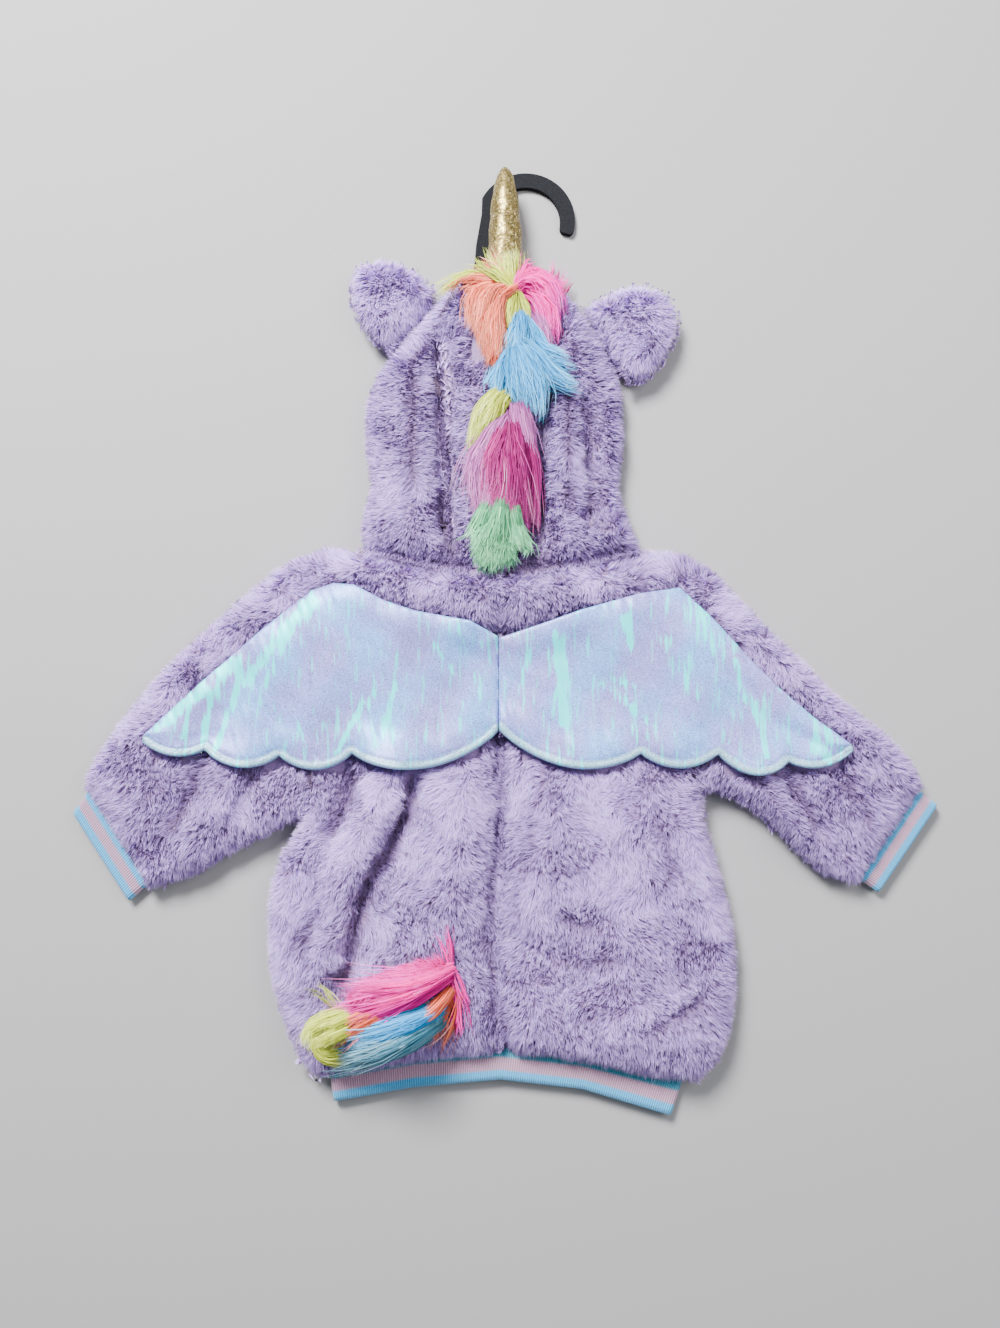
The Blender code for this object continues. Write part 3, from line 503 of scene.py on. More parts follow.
def creased(points):
    """How far each point sinks in the listed creases, and how it leans from them."""
    sink = np.zeros(len(points))
    lean = np.zeros((len(points), 3))
    for line, width, depth, away in CREASES:
        distance = np.full(len(points), 1.0)
        side = np.zeros((len(points), 2))
        for start, end in zip(line, line[1:]):
            gap, share = to_segment(points, start, end)
            nearer = gap < distance
            distance[nearer] = gap[nearer]
            spot = np.array(start) + share[:, None] * (np.array(end) - np.array(start))
            side[nearer] = (points[:, :2] - spot)[nearer]
        ends = np.minimum(np.linalg.norm(points[:, :2] - line[0], axis=1),
                          np.linalg.norm(points[:, :2] - line[-1], axis=1))
        sink += depth * np.exp(-(distance / width) ** 2) * ease(.3 + ends / .012)
        lean[:, :2] += unit(side) * (np.exp(-(distance / (width * 1.5)) ** 2) * away)[:, None]
    return sink, lean


def scatter(points, triangles, normals, spacing):
    """Evenly spread random places on a surface, with their normals."""
    areas = np.linalg.norm(crosses(points, triangles), axis=1) / 2
    wanted = int(areas.sum() / spacing ** 2 * SCATTER_TRIES)
    chosen = rng.choice(len(triangles), wanted, p=areas / areas.sum())
    u, v = rng.random(wanted), rng.random(wanted)
    flip = u + v > 1
    u[flip], v[flip] = 1 - u[flip], 1 - v[flip]
    shares = (1 - u - v, u, v)
    corners = triangles[chosen]
    places, facing = (sum(values[corners[:, index]] * share[:, None]
                          for index, share in enumerate(shares)) for values in (points, normals))
    facing = unit(facing)
    keys = np.floor(places / spacing).astype(np.int64)
    _, first = np.unique(keys, axis=0, return_index=True)
    first.sort()
    return places[first], facing[first]


def flow(places):
    """Lay of the pile: down the garment, swirling."""
    angle = -math.pi / 2 + 1.0 * waves(places[:, :2], .050, 11) + .50 * waves(places[:, :2], .016, 12)
    angle += rng.normal(0, .22, len(places))
    return np.stack([np.cos(angle), np.sin(angle), np.zeros(len(places))], axis=1)


def smoothness(places):
    """1 where the pile lies brushed flat, 0 where it stands in tufts."""
    flat = np.zeros(len(places))
    for x, y, radius in BRUSHED:
        flat = np.maximum(flat, np.exp(-(np.hypot(places[:, 0] - x, places[:, 1] - y) / radius) ** 2))
    return ease(flat + .25 * waves(places[:, :2], .030, 13))


def blades(places, facing, lay, height, lean, gather, each, spread, width, painted_shade=0.0):
    """Clumps of pointed blades: points, triangles, tone colours and soft normals."""
    total = len(places)
    painted_shade = np.repeat(np.broadcast_to(painted_shade, total), each)
    count = total * each
    centre, up, lay, height, lean, gather = (np.repeat(part, each, axis=0)
                                             for part in (places, facing, lay, height, lean, gather))
    tall = height * rng.uniform(.70, 1.08, count)
    across = unit(np.cross(up, lay))
    forward = unit(np.cross(across, up))
    turn = rng.uniform(0, TURN, count)
    radius = spread * np.sqrt(rng.random(count))
    offset = (across * np.cos(turn)[:, None] + forward * np.sin(turn)[:, None]) * radius[:, None]
    sway = across * rng.normal(0, .22, count)[:, None]
    root = centre + offset
    tip = centre + offset * gather[:, None] + up * tall[:, None] + (lay + sway) * (tall * lean)[:, None]
    along = unit(tip - root)
    wide = unit(np.cross(along, up + rng.normal(0, .45, (count, 3))))
    wide *= (width * rng.uniform(.6, 1.4, count))[:, None]
    points = np.stack([root - wide, root + wide, tip], axis=1).reshape(-1, 3)
    points[:, 2] = np.maximum(points[:, 2], .0002)
    own = unit(np.cross(wide, along))
    own *= np.sign(np.sum(own * up, axis=1, keepdims=True) + 1e-9)
    normals = np.repeat(unit(up * .62 + own * .38), 3, axis=0)
    shade = ease(np.repeat(rng.random(total), each) * .5 + .5 * rng.random(count))
    tone = np.ones((count, 3, 4))
    # Painted shade lowers a blade's shade and its tip colour; a negative amount is painted light.
    tone[:, :, 1] = (shade - painted_shade)[:, None]
    tone[:, :2, 0] = .0
    tone[:, 2, 0] = 1.0 - .5 * painted_shade
    return points, np.arange(count * 3).reshape(-1, 3), tone.reshape(-1, 4), normals


def seam_shade(places, facing):
    """1 on the steep walls beside a seam, where little light falls."""
    near = np.full(len(places), 1.0)
    for line in JOINS:
        for start, end in zip(line, line[1:]):
            near = np.minimum(near, to_segment(places, start, end)[0])
    return ease(1 - near / .006) * ease(1.4 - 1.6 * facing[:, 2])


def outside_of(name, tree):
    """A solid's points, triangles, which of them face outside, and normals from those alone."""
    points, triangles, normals = surface_of(name)
    cross = crosses(points, triangles)
    facing = unit(cross)
    a, b, c = (points[triangles[:, index]] for index in range(3))
    free = np.array([is_free(tree, centre, normal)
                     or (normal[2] > .25 and is_free(tree, centre, UP))
                     for centre, normal in zip((a + b + c) / 3, facing)])
    own = np.zeros_like(points)
    for corner in range(3):
        np.add.at(own, triangles[free][:, corner], cross[free])
    outer = np.linalg.norm(own, axis=1) > 0
    normals[outer] = unit(own[outer])
    return points, triangles, free, normals, outer


def finer_at_creases(parts):
    """The mesh of a plush piece, with short edges wherever a crease passes."""
    points, triangles, _, normals, outer = parts
    shape = bmesh.new()
    facing = shape.verts.layers.float_vector.new("facing")
    share = shape.verts.layers.float.new("outer")
    for point, normal, outside in zip(points, normals, outer):
        vert = shape.verts.new(point)
        vert[facing] = normal
        vert[share] = float(outside)
    shape.verts.ensure_lookup_table()
    for corners in triangles:
        shape.faces.new([shape.verts[corner] for corner in corners])
    for _ in range(3):
        edges = [edge for edge in shape.edges if edge.calc_length() > CREASE_EDGE]
        passed = np.zeros(len(edges))
        for part in (.1, .3, .5, .7, .9):
            middles = np.array([edge.verts[0].co.lerp(edge.verts[1].co, part)[:] for edge in edges])
            passed = np.maximum(passed, np.abs(creased(middles)[0]))
        cut = [edge for edge, sink in zip(edges, passed) if sink > LEAST_CREASE]
        bmesh.ops.subdivide_edges(shape, edges=cut, cuts=1)
        bmesh.ops.triangulate(shape, faces=shape.faces[:])
    shape.verts.index_update()
    points = np.array([vert.co[:] for vert in shape.verts])
    normals = unit(np.array([vert[facing][:] for vert in shape.verts]))
    outer = np.array([vert[share] for vert in shape.verts])
    triangles = np.array([[vert.index for vert in face.verts] for face in shape.faces])
    shape.free()
    return points, triangles, normals, outer


def plush_shell(name, parts, material):
    """The backing of a plush piece: its solid with the pile's depth taken off outside."""
    points, triangles, normals, outer = finer_at_creases(parts)
    inset = np.where(normals[:, 2] < -.35, .0012, PILE) * outer
    moved = points - normals * inset[:, None]
    moved[:, 2] = np.maximum(moved[:, 2] - creased(points)[0], LOWEST_SHELL)
    mesh = mesh_of("shell_" + name, moved, triangles)
    mesh.shade_smooth()
    piece = new_object("shell_" + name, mesh, material)
    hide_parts(name)
    return piece


def top_pile(name, parts, spacing, each):
    """Blades of one piece wherever its outside can be seen from above or from a side."""
    points, triangles, free, normals, _ = parts
    rise = unit(crosses(points, triangles))[:, 2]
    places, facing = scatter(points, triangles[free & (rise > SIDE_RISE)], normals, spacing)
    seen = uncovered(places)
    places, facing = places[seen], facing[seen]
    sink, away = creased(places)
    flat = smoothness(places)
    lay = flow(places) + away * .8
    outward = np.stack([facing[:, 0], facing[:, 1], np.zeros(len(places))], axis=1)
    lay += 1.4 * outward
    lay -= facing * np.sum(lay * facing, axis=1, keepdims=True)
    height = (PILE + .0014) * (1 + .10 * waves(places, .012, 21) + .12 * waves(places, .0050, 22))
    height *= (1 - .15 * flat) * (1 - .3 * ease(sink / DEEP))
    lean = .22 + .95 * flat + .40 * rng.random(len(places))
    gather = .34 + .50 * flat
    roots = places - facing * (PILE + sink)[:, None]
    # Painted shade in the creases and painted sheen on the brushed patches, with random darker and lighter
    # patches where the pile stands in tufts, and a little darker overall.
    painted_shade = .90 * ease(sink / DEEP) - .25 * flat
    painted_shade += .20 * (1 - flat) * np.clip(waves(places, .009, 26), -1, 1) + .06
    # Painted shade on the steep walls beside the seams.
    painted_shade += .8 * seam_shade(places, facing)
    if name.startswith("ear"):
        # The ears' pile is lightened with painted light.
        height, gather, lean, painted_shade = height * .84, gather + .22, lean + .25, painted_shade - .38
    return blades(roots, facing, unit(lay), height, lean, gather, each, spacing * 1.05, PILE_WIDTH, painted_shade)


def under_pile(parts, lean):
    """Flattened blades below, where the cloth lies on the surface."""
    points, triangles, free, normals, _ = parts
    rise = unit(crosses(points, triangles))[:, 2]
    below = triangles[free & (rise <= SIDE_RISE)]
    if not len(below):
        return None
    places, facing = scatter(points, below, normals, UNDER_SPACING)
    places[:, 2] = np.maximum(places[:, 2], LOWEST_PILE)
    count = len(places)
    # The blades below are lightened with painted light, where shade falls under the cloth.
    return blades(places, facing, flow(places), np.full(count, UNDER_HEIGHT), np.full(count, lean),
                  np.full(count, .5), UNDER_EACH, UNDER_SPACING * .8, .0009, -.45)


def joined(made):
    """Several sets of blades as one."""
    start, faces = 0, []
    for points, triangles, _, _ in made:
        faces.append(triangles + start)
        start += len(points)
    points, tone, normals = (np.vstack([part[index] for part in made]) for index in (0, 2, 3))
    return points, np.vstack(faces), tone, normals


def join_places(tree):
    """Places along the seams, level with the lower of the pieces on both sides."""
    places = []
    for line in JOINS:
        for start, end in zip(np.array(line), np.array(line[1:])):
            run = end - start
            length = np.linalg.norm(run)
            across = np.array((-run[1], run[0])) / length
            for share in np.arange(0, 1, JOIN_STEP / length):
                spot = start + run * share + rng.normal(0, .0004, 2)
                hits = [drop(tree, *(spot + across * offset)) for offset in (-JOIN_REACH, JOIN_REACH)]
                heights = [hit.z for hit in hits if hit]
                if heights:
                    places.append((spot[0], spot[1], min(heights) - .0004))
    return np.array(places)


def join_pile(tree, material):
    """Pile across the seams, standing between the pieces on both sides."""
    places = join_places(tree)
    places = places[uncovered(places)]
    up = np.tile((.0, .0, 1.0), (len(places), 1))
    sink, away = creased(places)
    roots = places - up * (PILE + sink)[:, None]
    flat = smoothness(places)
    height = np.full(len(places), PILE + .0012) * (1 + .12 * waves(places, .008, 24))
    # Painted shade darkens the pile in the creases.
    made = blades(roots, up, unit(flow(places) + .4 * away), height, .35 + .8 * flat,
                  .35 + .5 * flat, JOIN_EACH, .0032, PILE_WIDTH, .8 * ease(sink / DEEP))
    return new_object("pile_joins", mesh_of("pile_joins", *made), material)


def plush_pile(name, parts, material):
    spacing, each = (.0021, 10) if name.startswith(("back", "sleeve")) else (.0020, 9)
    made = [top_pile(name, parts, spacing, each), under_pile(parts, 2.0 if name.startswith("ear") else 4.5)]
    mesh = mesh_of("pile_" + name, *joined([part for part in made if part is not None]))
    return new_object("pile_" + name, mesh, material)


def add_plush():
    tree = tree_of([name for name in nodes if name != "hanger"])
    # The backing's mauve is darkened as painted shade, so gaps in the pile read as shadow.
    shade_backing = cloth_material("plush_backing_painted_shade", (.32, .21, .42), (.22, .14, .30))
    # The dark root colour is painted shade deep in the pile, between the tufts.
    stops = [(.0, (.24, .145, .22)), (.5, (.52, .335, .83)), (1.0, (.75, .565, 1.0))]
    pile = pile_material("plush_pile", stops)
    for name in PLUSH_NODES:
        parts = outside_of(name, tree)
        shell = plush_shell(name, parts, shade_backing)
        fur = plush_pile(name, parts, pile)
    join_pile(tree, pile)


# Wings

WING_COLUMNS = 200
WING_ROWS = 48
WING_HEM = .0048
WING_STITCH = .0026
PROBE_FROM = -.05
PROBE_REACH = .2
STITCH_PITCH = .0030
STITCH_SIZE = (.0011, .00035, .00022, 1)
UNSTITCHED = 8
PAINTED_GLEAMS = [
    # painted aqua highlights on the film: start X, start Y, end X, end Y, half width, strength
    (-.128, .012, -.172, -.042, .0060, .95), (-.140, -.002, -.156, -.042, .0040, .7),
    (-.176, -.026, -.226, -.070, .0060, .85), (-.188, -.034, -.198, -.080, .0038, .95),
    (-.172, -.034, -.188, -.082, .0036, .90), (-.204, -.046, -.210, -.076, .0030, .8),
    (-.092, -.052, -.110, -.086, .0026, .95), (-.086, -.046, -.098, -.078, .0018, .6),
    (-.072, -.042, -.082, -.082, .0026, .80), (-.066, -.056, -.074, -.080, .0018, .5),
    (-.136, -.040, -.120, -.084, .0010, .5), (-.142, -.046, -.128, -.086, .0009, .4),
    (-.046, -.016, -.032, -.036, .0026, .60), (-.032, .002, -.016, -.050, .0011, .5),
    (-.018, -.012, -.015, -.048, .0011, .4), (.0105, -.002, .0130, -.066, .0045, .45),
    (.034, -.012, .0375, -.066, .0066, 1.0), (.078, .000, .082, -.016, .0050, .70),
    (.064, -.040, .096, -.068, .0040, .55), (.070, -.038, .088, -.044, .0030, .5),
    (.082, -.070, .088, -.084, .0030, .5), (.122, .012, .142, -.030, .0090, .45),
    (.104, -.014, .128, -.052, .0070, .40), (.140, .008, .150, -.020, .0050, .45),
    (.150, -.026, .156, -.052, .0026, .85), (.164, -.052, .170, -.088, .0040, .85),
    (.192, -.040, .212, -.078, .0080, .45), (.202, -.080, .212, -.094, .0050, .6),
    (.180, -.036, .188, -.060, .0030, .5),
]


def line_value(points, x):
    ordered = sorted(points)
    return np.interp(x, [point[0] for point in ordered], [point[1] for point in ordered])


def scallop_edge(side, x):
    """Y of the wing's lower edge at one X."""
    notches = WING_NOTCHES[side]
    for (a, b), lowest in zip(zip(notches, notches[1:]), WING_LOWEST[side]):
        share = (x - a[0]) / (b[0] - a[0])
        if share <= 1 + 1e-9:
            share = max(0.0, share)
            line = a[1] + (b[1] - a[1]) * share
            return line + (lowest - (a[1] + b[1]) / 2) * math.sin(math.pi * share) ** .75
    return notches[-1][1]


def to_lines(flat, lines):
    """Distance of points in plan to the nearest of some lines of points."""
    distance = np.full(len(flat), 1.0)
    for line in lines:
        for a, b in zip(line[::2], line[2::2]):
            distance = np.minimum(distance, to_segment(flat, a, b)[0])
    return distance


def wing_shape(side):
    """Grid of X and Y, height of what lies below, distances to the edge and to the hem."""
    tree = tree_of(["wing_" + side])
    start, end = WING_NOTCHES[side][0][0], WING_NOTCHES[side][-1][0]
    shares = (1 - np.cos(np.linspace(0, math.pi, WING_ROWS))) / 2 * .6 + np.linspace(0, 1, WING_ROWS) * .4
    columns, base = [], []
    for x in np.linspace(start, end, WING_COLUMNS):
        low, high = scallop_edge(side, x), line_value(WING_TOP[side], x)
        ys = low + (high - low) * shares
        probe = min(max(x, min(start, end) + .0010), max(start, end) - .0010)
        heights = []
        for y in ys:
            inner = min(max(y, low + .0012), high - .0012)
            hit = tree.ray_cast(Vector((probe, inner, PROBE_FROM)), Vector(UP), PROBE_REACH)[0]
            heights.append(hit.z if hit else (heights[-1] if heights else .030))
        columns.append(np.stack([np.full(WING_ROWS, x), ys], axis=1))
        base.append(heights)
    plan = np.array(columns)
    base = np.array(base)
    for _ in range(6):
        inner = base.copy()
        inner[1:-1] = (base[:-2] + 2 * base[1:-1] + base[2:]) / 4
        inner[:, 1:-1] = (inner[:, :-2] + 2 * inner[:, 1:-1] + inner[:, 2:]) / 4
        base = inner
    flat = plan.reshape(-1, 2)
    edge = to_lines(flat, [plan[0], plan[:, -1], plan[-1], plan[:, 0]])
    return plan, base.ravel(), edge, to_lines(flat, [plan[:, 0]])


def wing_thickness(flat, edge, hem, drag):
    """The wing's thickness: a soft field inside a raised, topstitched hem."""
    near_hem = ease(1 - (hem - .008) / .010)
    thick = .0006 + (.0006 + .0012 * near_hem) * rounding(edge / .0016)
    thick += .0004 * ease(1 - ((hem - WING_STITCH) / WING_STITCH) ** 2)
    thick -= .0006 * np.exp(-((hem - WING_HEM) / .0006) ** 2)
    swell = ease(np.minimum((hem - WING_HEM) / .012, edge / .012))
    thick += (.0020 + .0008 * (1 - near_hem)) * np.sin(swell * math.pi / 2)
    field = ease((hem - WING_HEM) / .004)
    space = np.column_stack([flat, np.zeros(len(flat))])
    thick += field * (.00034 * waves(drag, .007, 31) + .0009 * waves(space, .034, 32))
    pucker = np.exp(-((hem - WING_HEM) / .0035) ** 2)
    return thick + .00022 * pucker * waves(flat, .0035, 33)


def wing_tone(flat, hem, drag):
    """Painted gleam (painted aqua highlight), hem mask for the painted reflection and hue of the film at
    each point.
    """
    painted_gleam = np.zeros(len(flat))
    for x0, y0, x1, y1, half, strength in PAINTED_GLEAMS:
        gap, share = to_segment(flat, (x0, y0), (x1, y1))
        taper = half * (1 - .5 * share)
        painted_gleam = np.maximum(painted_gleam, strength * np.exp(-(gap / taper) ** 3))
    ragged = .5 + .5 * np.clip(1.8 * waves(drag, .0060, 34), -1, 1)
    tone = np.ones((len(flat), 4))
    tone[:, 0] = ease(painted_gleam * (.70 + .30 * ragged))
    tone[:, 1] = ease(1 - (hem - WING_HEM) / .0008)
    tone[:, 2] = .5 + .5 * np.clip(waves(flat, .050, 35), -1, 1)
    return tone


def wing_faces():
    """Quads of the wing's upper side."""
    faces = []
    for column in range(WING_COLUMNS - 1):
        for row in range(WING_ROWS - 1):
            a, b = column * WING_ROWS + row, (column + 1) * WING_ROWS + row
            faces.append((a, a + 1, b + 1, b))
    return faces


def wing(side, material, thread):
    """A padded wing: a soft field inside a topstitched hem."""
    plan, base, edge, hem = wing_shape(side)
    flat = plan.reshape(-1, 2)
    drag = np.column_stack([flat[:, 0] * 1.0 + flat[:, 1] * .35, flat[:, 1] * .30])
    top = np.column_stack([flat, base + wing_thickness(flat, edge, hem, drag)])
    low = np.column_stack([flat, base - .0006 * (edge > .001)])
    tone = wing_tone(flat, hem, drag)
    count = len(flat)
    faces = []
    for face in wing_faces():
        faces.append(face)
        faces.append(tuple(count + index for index in face[::-1]))
    last = (WING_COLUMNS - 1) * WING_ROWS
    rim = (list(range(WING_ROWS))
           + [column * WING_ROWS + WING_ROWS - 1 for column in range(1, WING_COLUMNS)]
           + list(range(last + WING_ROWS - 2, last - 1, -1))
           + [column * WING_ROWS for column in range(WING_COLUMNS - 2, 0, -1)])
    for a, b in zip(rim, rim[1:] + rim[:1]):
        faces.append((a, a + count, b + count, b))
    if plan[-1, 0, 0] > plan[0, 0, 0]:
        faces = [face[::-1] for face in faces]
    mesh = mesh_of("fabric_wing_" + side, np.vstack([top, low]), faces, np.vstack([tone, tone]))
    mesh.shade_smooth()
    piece = new_object("fabric_wing_" + side, mesh, material)
    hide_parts("wing_" + side)
    stitches(side, plan, top, thread)


def stitches(side, plan, top, thread):
    """Topstitching along the wing's hem, as short raised stitches."""
    tree = BVHTree.FromPolygons(top.tolist(), wing_faces())
    middle = plan.reshape(-1, 2).mean(axis=0)
    line = []
    for column in range(UNSTITCHED, WING_COLUMNS - UNSTITCHED):
        low, after = plan[column, 0], plan[column + 1, 0]
        along = (after - low) / max(1e-9, np.linalg.norm(after - low))
        normal = np.array([-along[1], along[0]])
        normal *= np.sign(normal @ (middle - low))
        line.append(low + normal * (WING_HEM - .0012))
    shape = bmesh.new()
    travelled, next_stitch = 0.0, 0.0
    for a, b in zip(line, line[1:]):
        length = np.linalg.norm(b - a)
        while travelled + length >= next_stitch and length > 1e-6:
            spot = a + (b - a) * (next_stitch - travelled) / length
            hit = drop(tree, *spot)
            if hit:
                turn = math.atan2(b[1] - a[1], b[0] - a[0])
                matrix = (Matrix.Translation(hit) @ Matrix.Rotation(turn, 4, "Z")
                          @ Matrix.Diagonal(STITCH_SIZE))
                bmesh.ops.create_icosphere(shape, subdivisions=1, radius=1, matrix=matrix)
            next_stitch += STITCH_PITCH
        travelled += length
    mesh = bpy.data.meshes.new("stitch_wing_" + side)
    shape.to_mesh(mesh)
    shape.free()
    mesh.shade_smooth()
    new_object("stitch_wing_" + side, mesh, thread)


# Rib knit

BAND_LOW = [(-.1125, -.3120), (-.060, -.3030), (-.0035, -.2980), (.050, -.3040), (.1085, -.3210)]
BAND_HIGH = [(-.1170, -.2810), (-.060, -.2710), (-.0035, -.2660), (.050, -.2720), (.1205, -.2870)]
CUFF_LINES = {
    "cuff_left": ([(-.2782, -.1097), (-.2368, -.1729)], [(-.2885, -.1250), (-.2490, -.1835)]),
    "cuff_right": ([(.2763, -.1095), (.2347, -.1691)], [(.2885, -.1200), (.2470, -.1780)]),
}
RIB_PITCH = .00145
RIB_HEIGHT = .0090
RIB_WALL = .0028
RIB_DEPTH = .0007
RIB_ROWS = 9


def line_point(points, share):
    points = np.array(points)
    lengths = np.linalg.norm(np.diff(points, axis=0), axis=1)
    at = np.concatenate([[0], np.cumsum(lengths)]) / lengths.sum()
    return np.array([np.interp(share, at, points[:, axis]) for axis in (0, 1)])


def rib_tube(name, high, low, material):
    """A flattened tube of fine ribs between its seam line and its outer edge."""
    width = float(np.linalg.norm(np.diff(np.array(low), axis=0), axis=1).sum())
    ribs = round(width / RIB_PITCH)
    steps = 4 * ribs
    shares = np.arange(steps + 1) / steps
    middle = RIB_HEIGHT / 2
    over = rounding(np.minimum(shares, 1 - shares) * width / middle)
    crest = RIB_DEPTH * (.5 - .5 * np.cos(shares * ribs * 2 * math.pi))
    back = np.linspace(1, 0, steps // 4 + 1)[1:-1]
    under = rounding(np.minimum(back, 1 - back) * width / middle)
    ring_shares = np.concatenate([shares, back])
    outer = np.concatenate([middle + (middle - RIB_DEPTH) * over + crest * over,
                            middle - middle * under])
    inner = middle + (outer - middle) * (1 - RIB_WALL / middle)
    inset = RIB_WALL / width
    points, tone = [], []
    for row in range(RIB_ROWS + 1):
        down = row / RIB_ROWS
        puff = 1 + .10 * math.sin(math.pi * down)
        for wall, z in ((0, outer), (1, inner)):
            for share, height in zip(ring_shares, z):
                place = share if wall == 0 else inset + share * (1 - 2 * inset)
                a, b = line_point(high, place), line_point(low, place)
                spot = a + (b - a) * down
                points.append((spot[0], spot[1], max(.0002, middle + (height - middle) * puff)))
                # 1 on the crests, 0 in the grooves: painted light on the crests, painted shade in the
                #                                    grooves.
                crest_light = .5 - .5 * math.cos(share * ribs * 2 * math.pi)
                tone.append((down, crest_light, .5, 1))
    count = len(ring_shares)
    last = RIB_ROWS * 2 * count
    faces = []
    for row in range(RIB_ROWS):
        for wall in (0, 1):
            for column in range(count):
                after = (column + 1) % count
                a, b = (row * 2 + wall) * count, ((row + 1) * 2 + wall) * count
                face = (a + column, a + after, b + after, b + column)
                faces.append(face if wall == 0 else face[::-1])
    for column in range(count):
        after = (column + 1) % count
        faces.append((column, column + count, after + count, after))
        faces.append((last + column, last + after, last + after + count, last + column + count))
    mesh = mesh_of("rib_" + name, np.array(points), faces, np.array(tone))
    face_outward(mesh)
    piece = new_object("rib_" + name, mesh, material)
    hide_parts(name)


def add_ribs():
    teal, mauve, blue = (.060, .330, .470), (.50, .30, .42), (.060, .440, .780)
    # The teal beside the seam is a blue stripe dulled by painted shade where the plush overhangs it.
    band = [(0, teal), (.52, teal), (.57, mauve), (.78, mauve), (.83, blue), (1, blue)]
    rib_tube("hem_band", BAND_HIGH, BAND_LOW, rib_material("rib_band", band))
    cuff = [(0, blue), (.22, blue), (.32, mauve), (.62, mauve), (.72, blue), (1, blue)]
    cuffs = rib_material("rib_cuff", cuff)
    for name, (high, low) in CUFF_LINES.items():
        rib_tube(name, high, low, cuffs)


# Horn

HORN_PROFILE = [
    # radius, length from the base
    (.0120, -.0045), (.0124, .0000), (.0125, .0040), (.0122, .0090), (.0119, .0130),
    (.0115, .0160), (.0115, .0195), (.0113, .0250), (.0108, .0300), (.0103, .0335),
    (.0102, .0375), (.0098, .0430), (.0091, .0480), (.0076, .0560), (.0058, .0620),
    (.0044, .0655), (.0028, .0682), (.0013, .0697), (.0002, .0700),
]
HORN_BASE = (0, .24655, .0172)
HORN_TILT = .035
HORN_TURNS = 96
HORN_RINGS = 94
HORN_SEAM = .9
HORN_CREASES = ((.0165, .22), (.0335, -.18))


def horn(material):
    """The stuffed horn of glitter cloth, with sewn creases, a seam and small dents."""
    lengths = np.linspace(HORN_PROFILE[0][1], HORN_PROFILE[-1][1], HORN_RINGS)
    radii = np.interp(lengths, [row[1] for row in HORN_PROFILE], [row[0] for row in HORN_PROFILE])
    points = []
    for length, radius in zip(lengths, radii):
        for step in range(HORN_TURNS):
            turn = TURN * step / HORN_TURNS
            points.append((math.cos(turn) * radius, length, math.sin(turn) * radius))
    points = np.array(points)
    outward = unit(points * (1, 0, 1))
    radius = np.linalg.norm(points * (1, 0, 1), axis=1)
    dent = .00030 * waves(points, .014, 41) + .00010 * waves(points, .005, 42)
    beside = (np.arctan2(points[:, 2], points[:, 0]) - HORN_SEAM) * radius
    seam = -.0007 * np.exp(-(beside / .0007) ** 2)
    for crease, tilt in HORN_CREASES:
        line = points[:, 1] - crease - tilt * points[:, 0]
        seam -= .0004 * np.exp(-(line / .0013) ** 2) * (points[:, 2] > 0)
    points = points + outward * ((dent + seam) * ease(radius / .006))[:, None]
    cos, sin = math.cos(HORN_TILT), math.sin(HORN_TILT)
    turned = np.column_stack([points[:, 0], points[:, 1] * cos - points[:, 2] * sin,
                              points[:, 1] * sin + points[:, 2] * cos]) + HORN_BASE
    faces = []
    for ring in range(HORN_RINGS - 1):
        for step in range(HORN_TURNS):
            after = (step + 1) % HORN_TURNS
            a, b = ring * HORN_TURNS, (ring + 1) * HORN_TURNS
            faces.append((a + step, a + after, b + after, b + step))
    mesh = mesh_of("stuffed_horn", turned, faces)
    face_outward(mesh, fill=True)
    piece = new_object("stuffed_horn", mesh, material)
    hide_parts("horn")


# Mane and tail

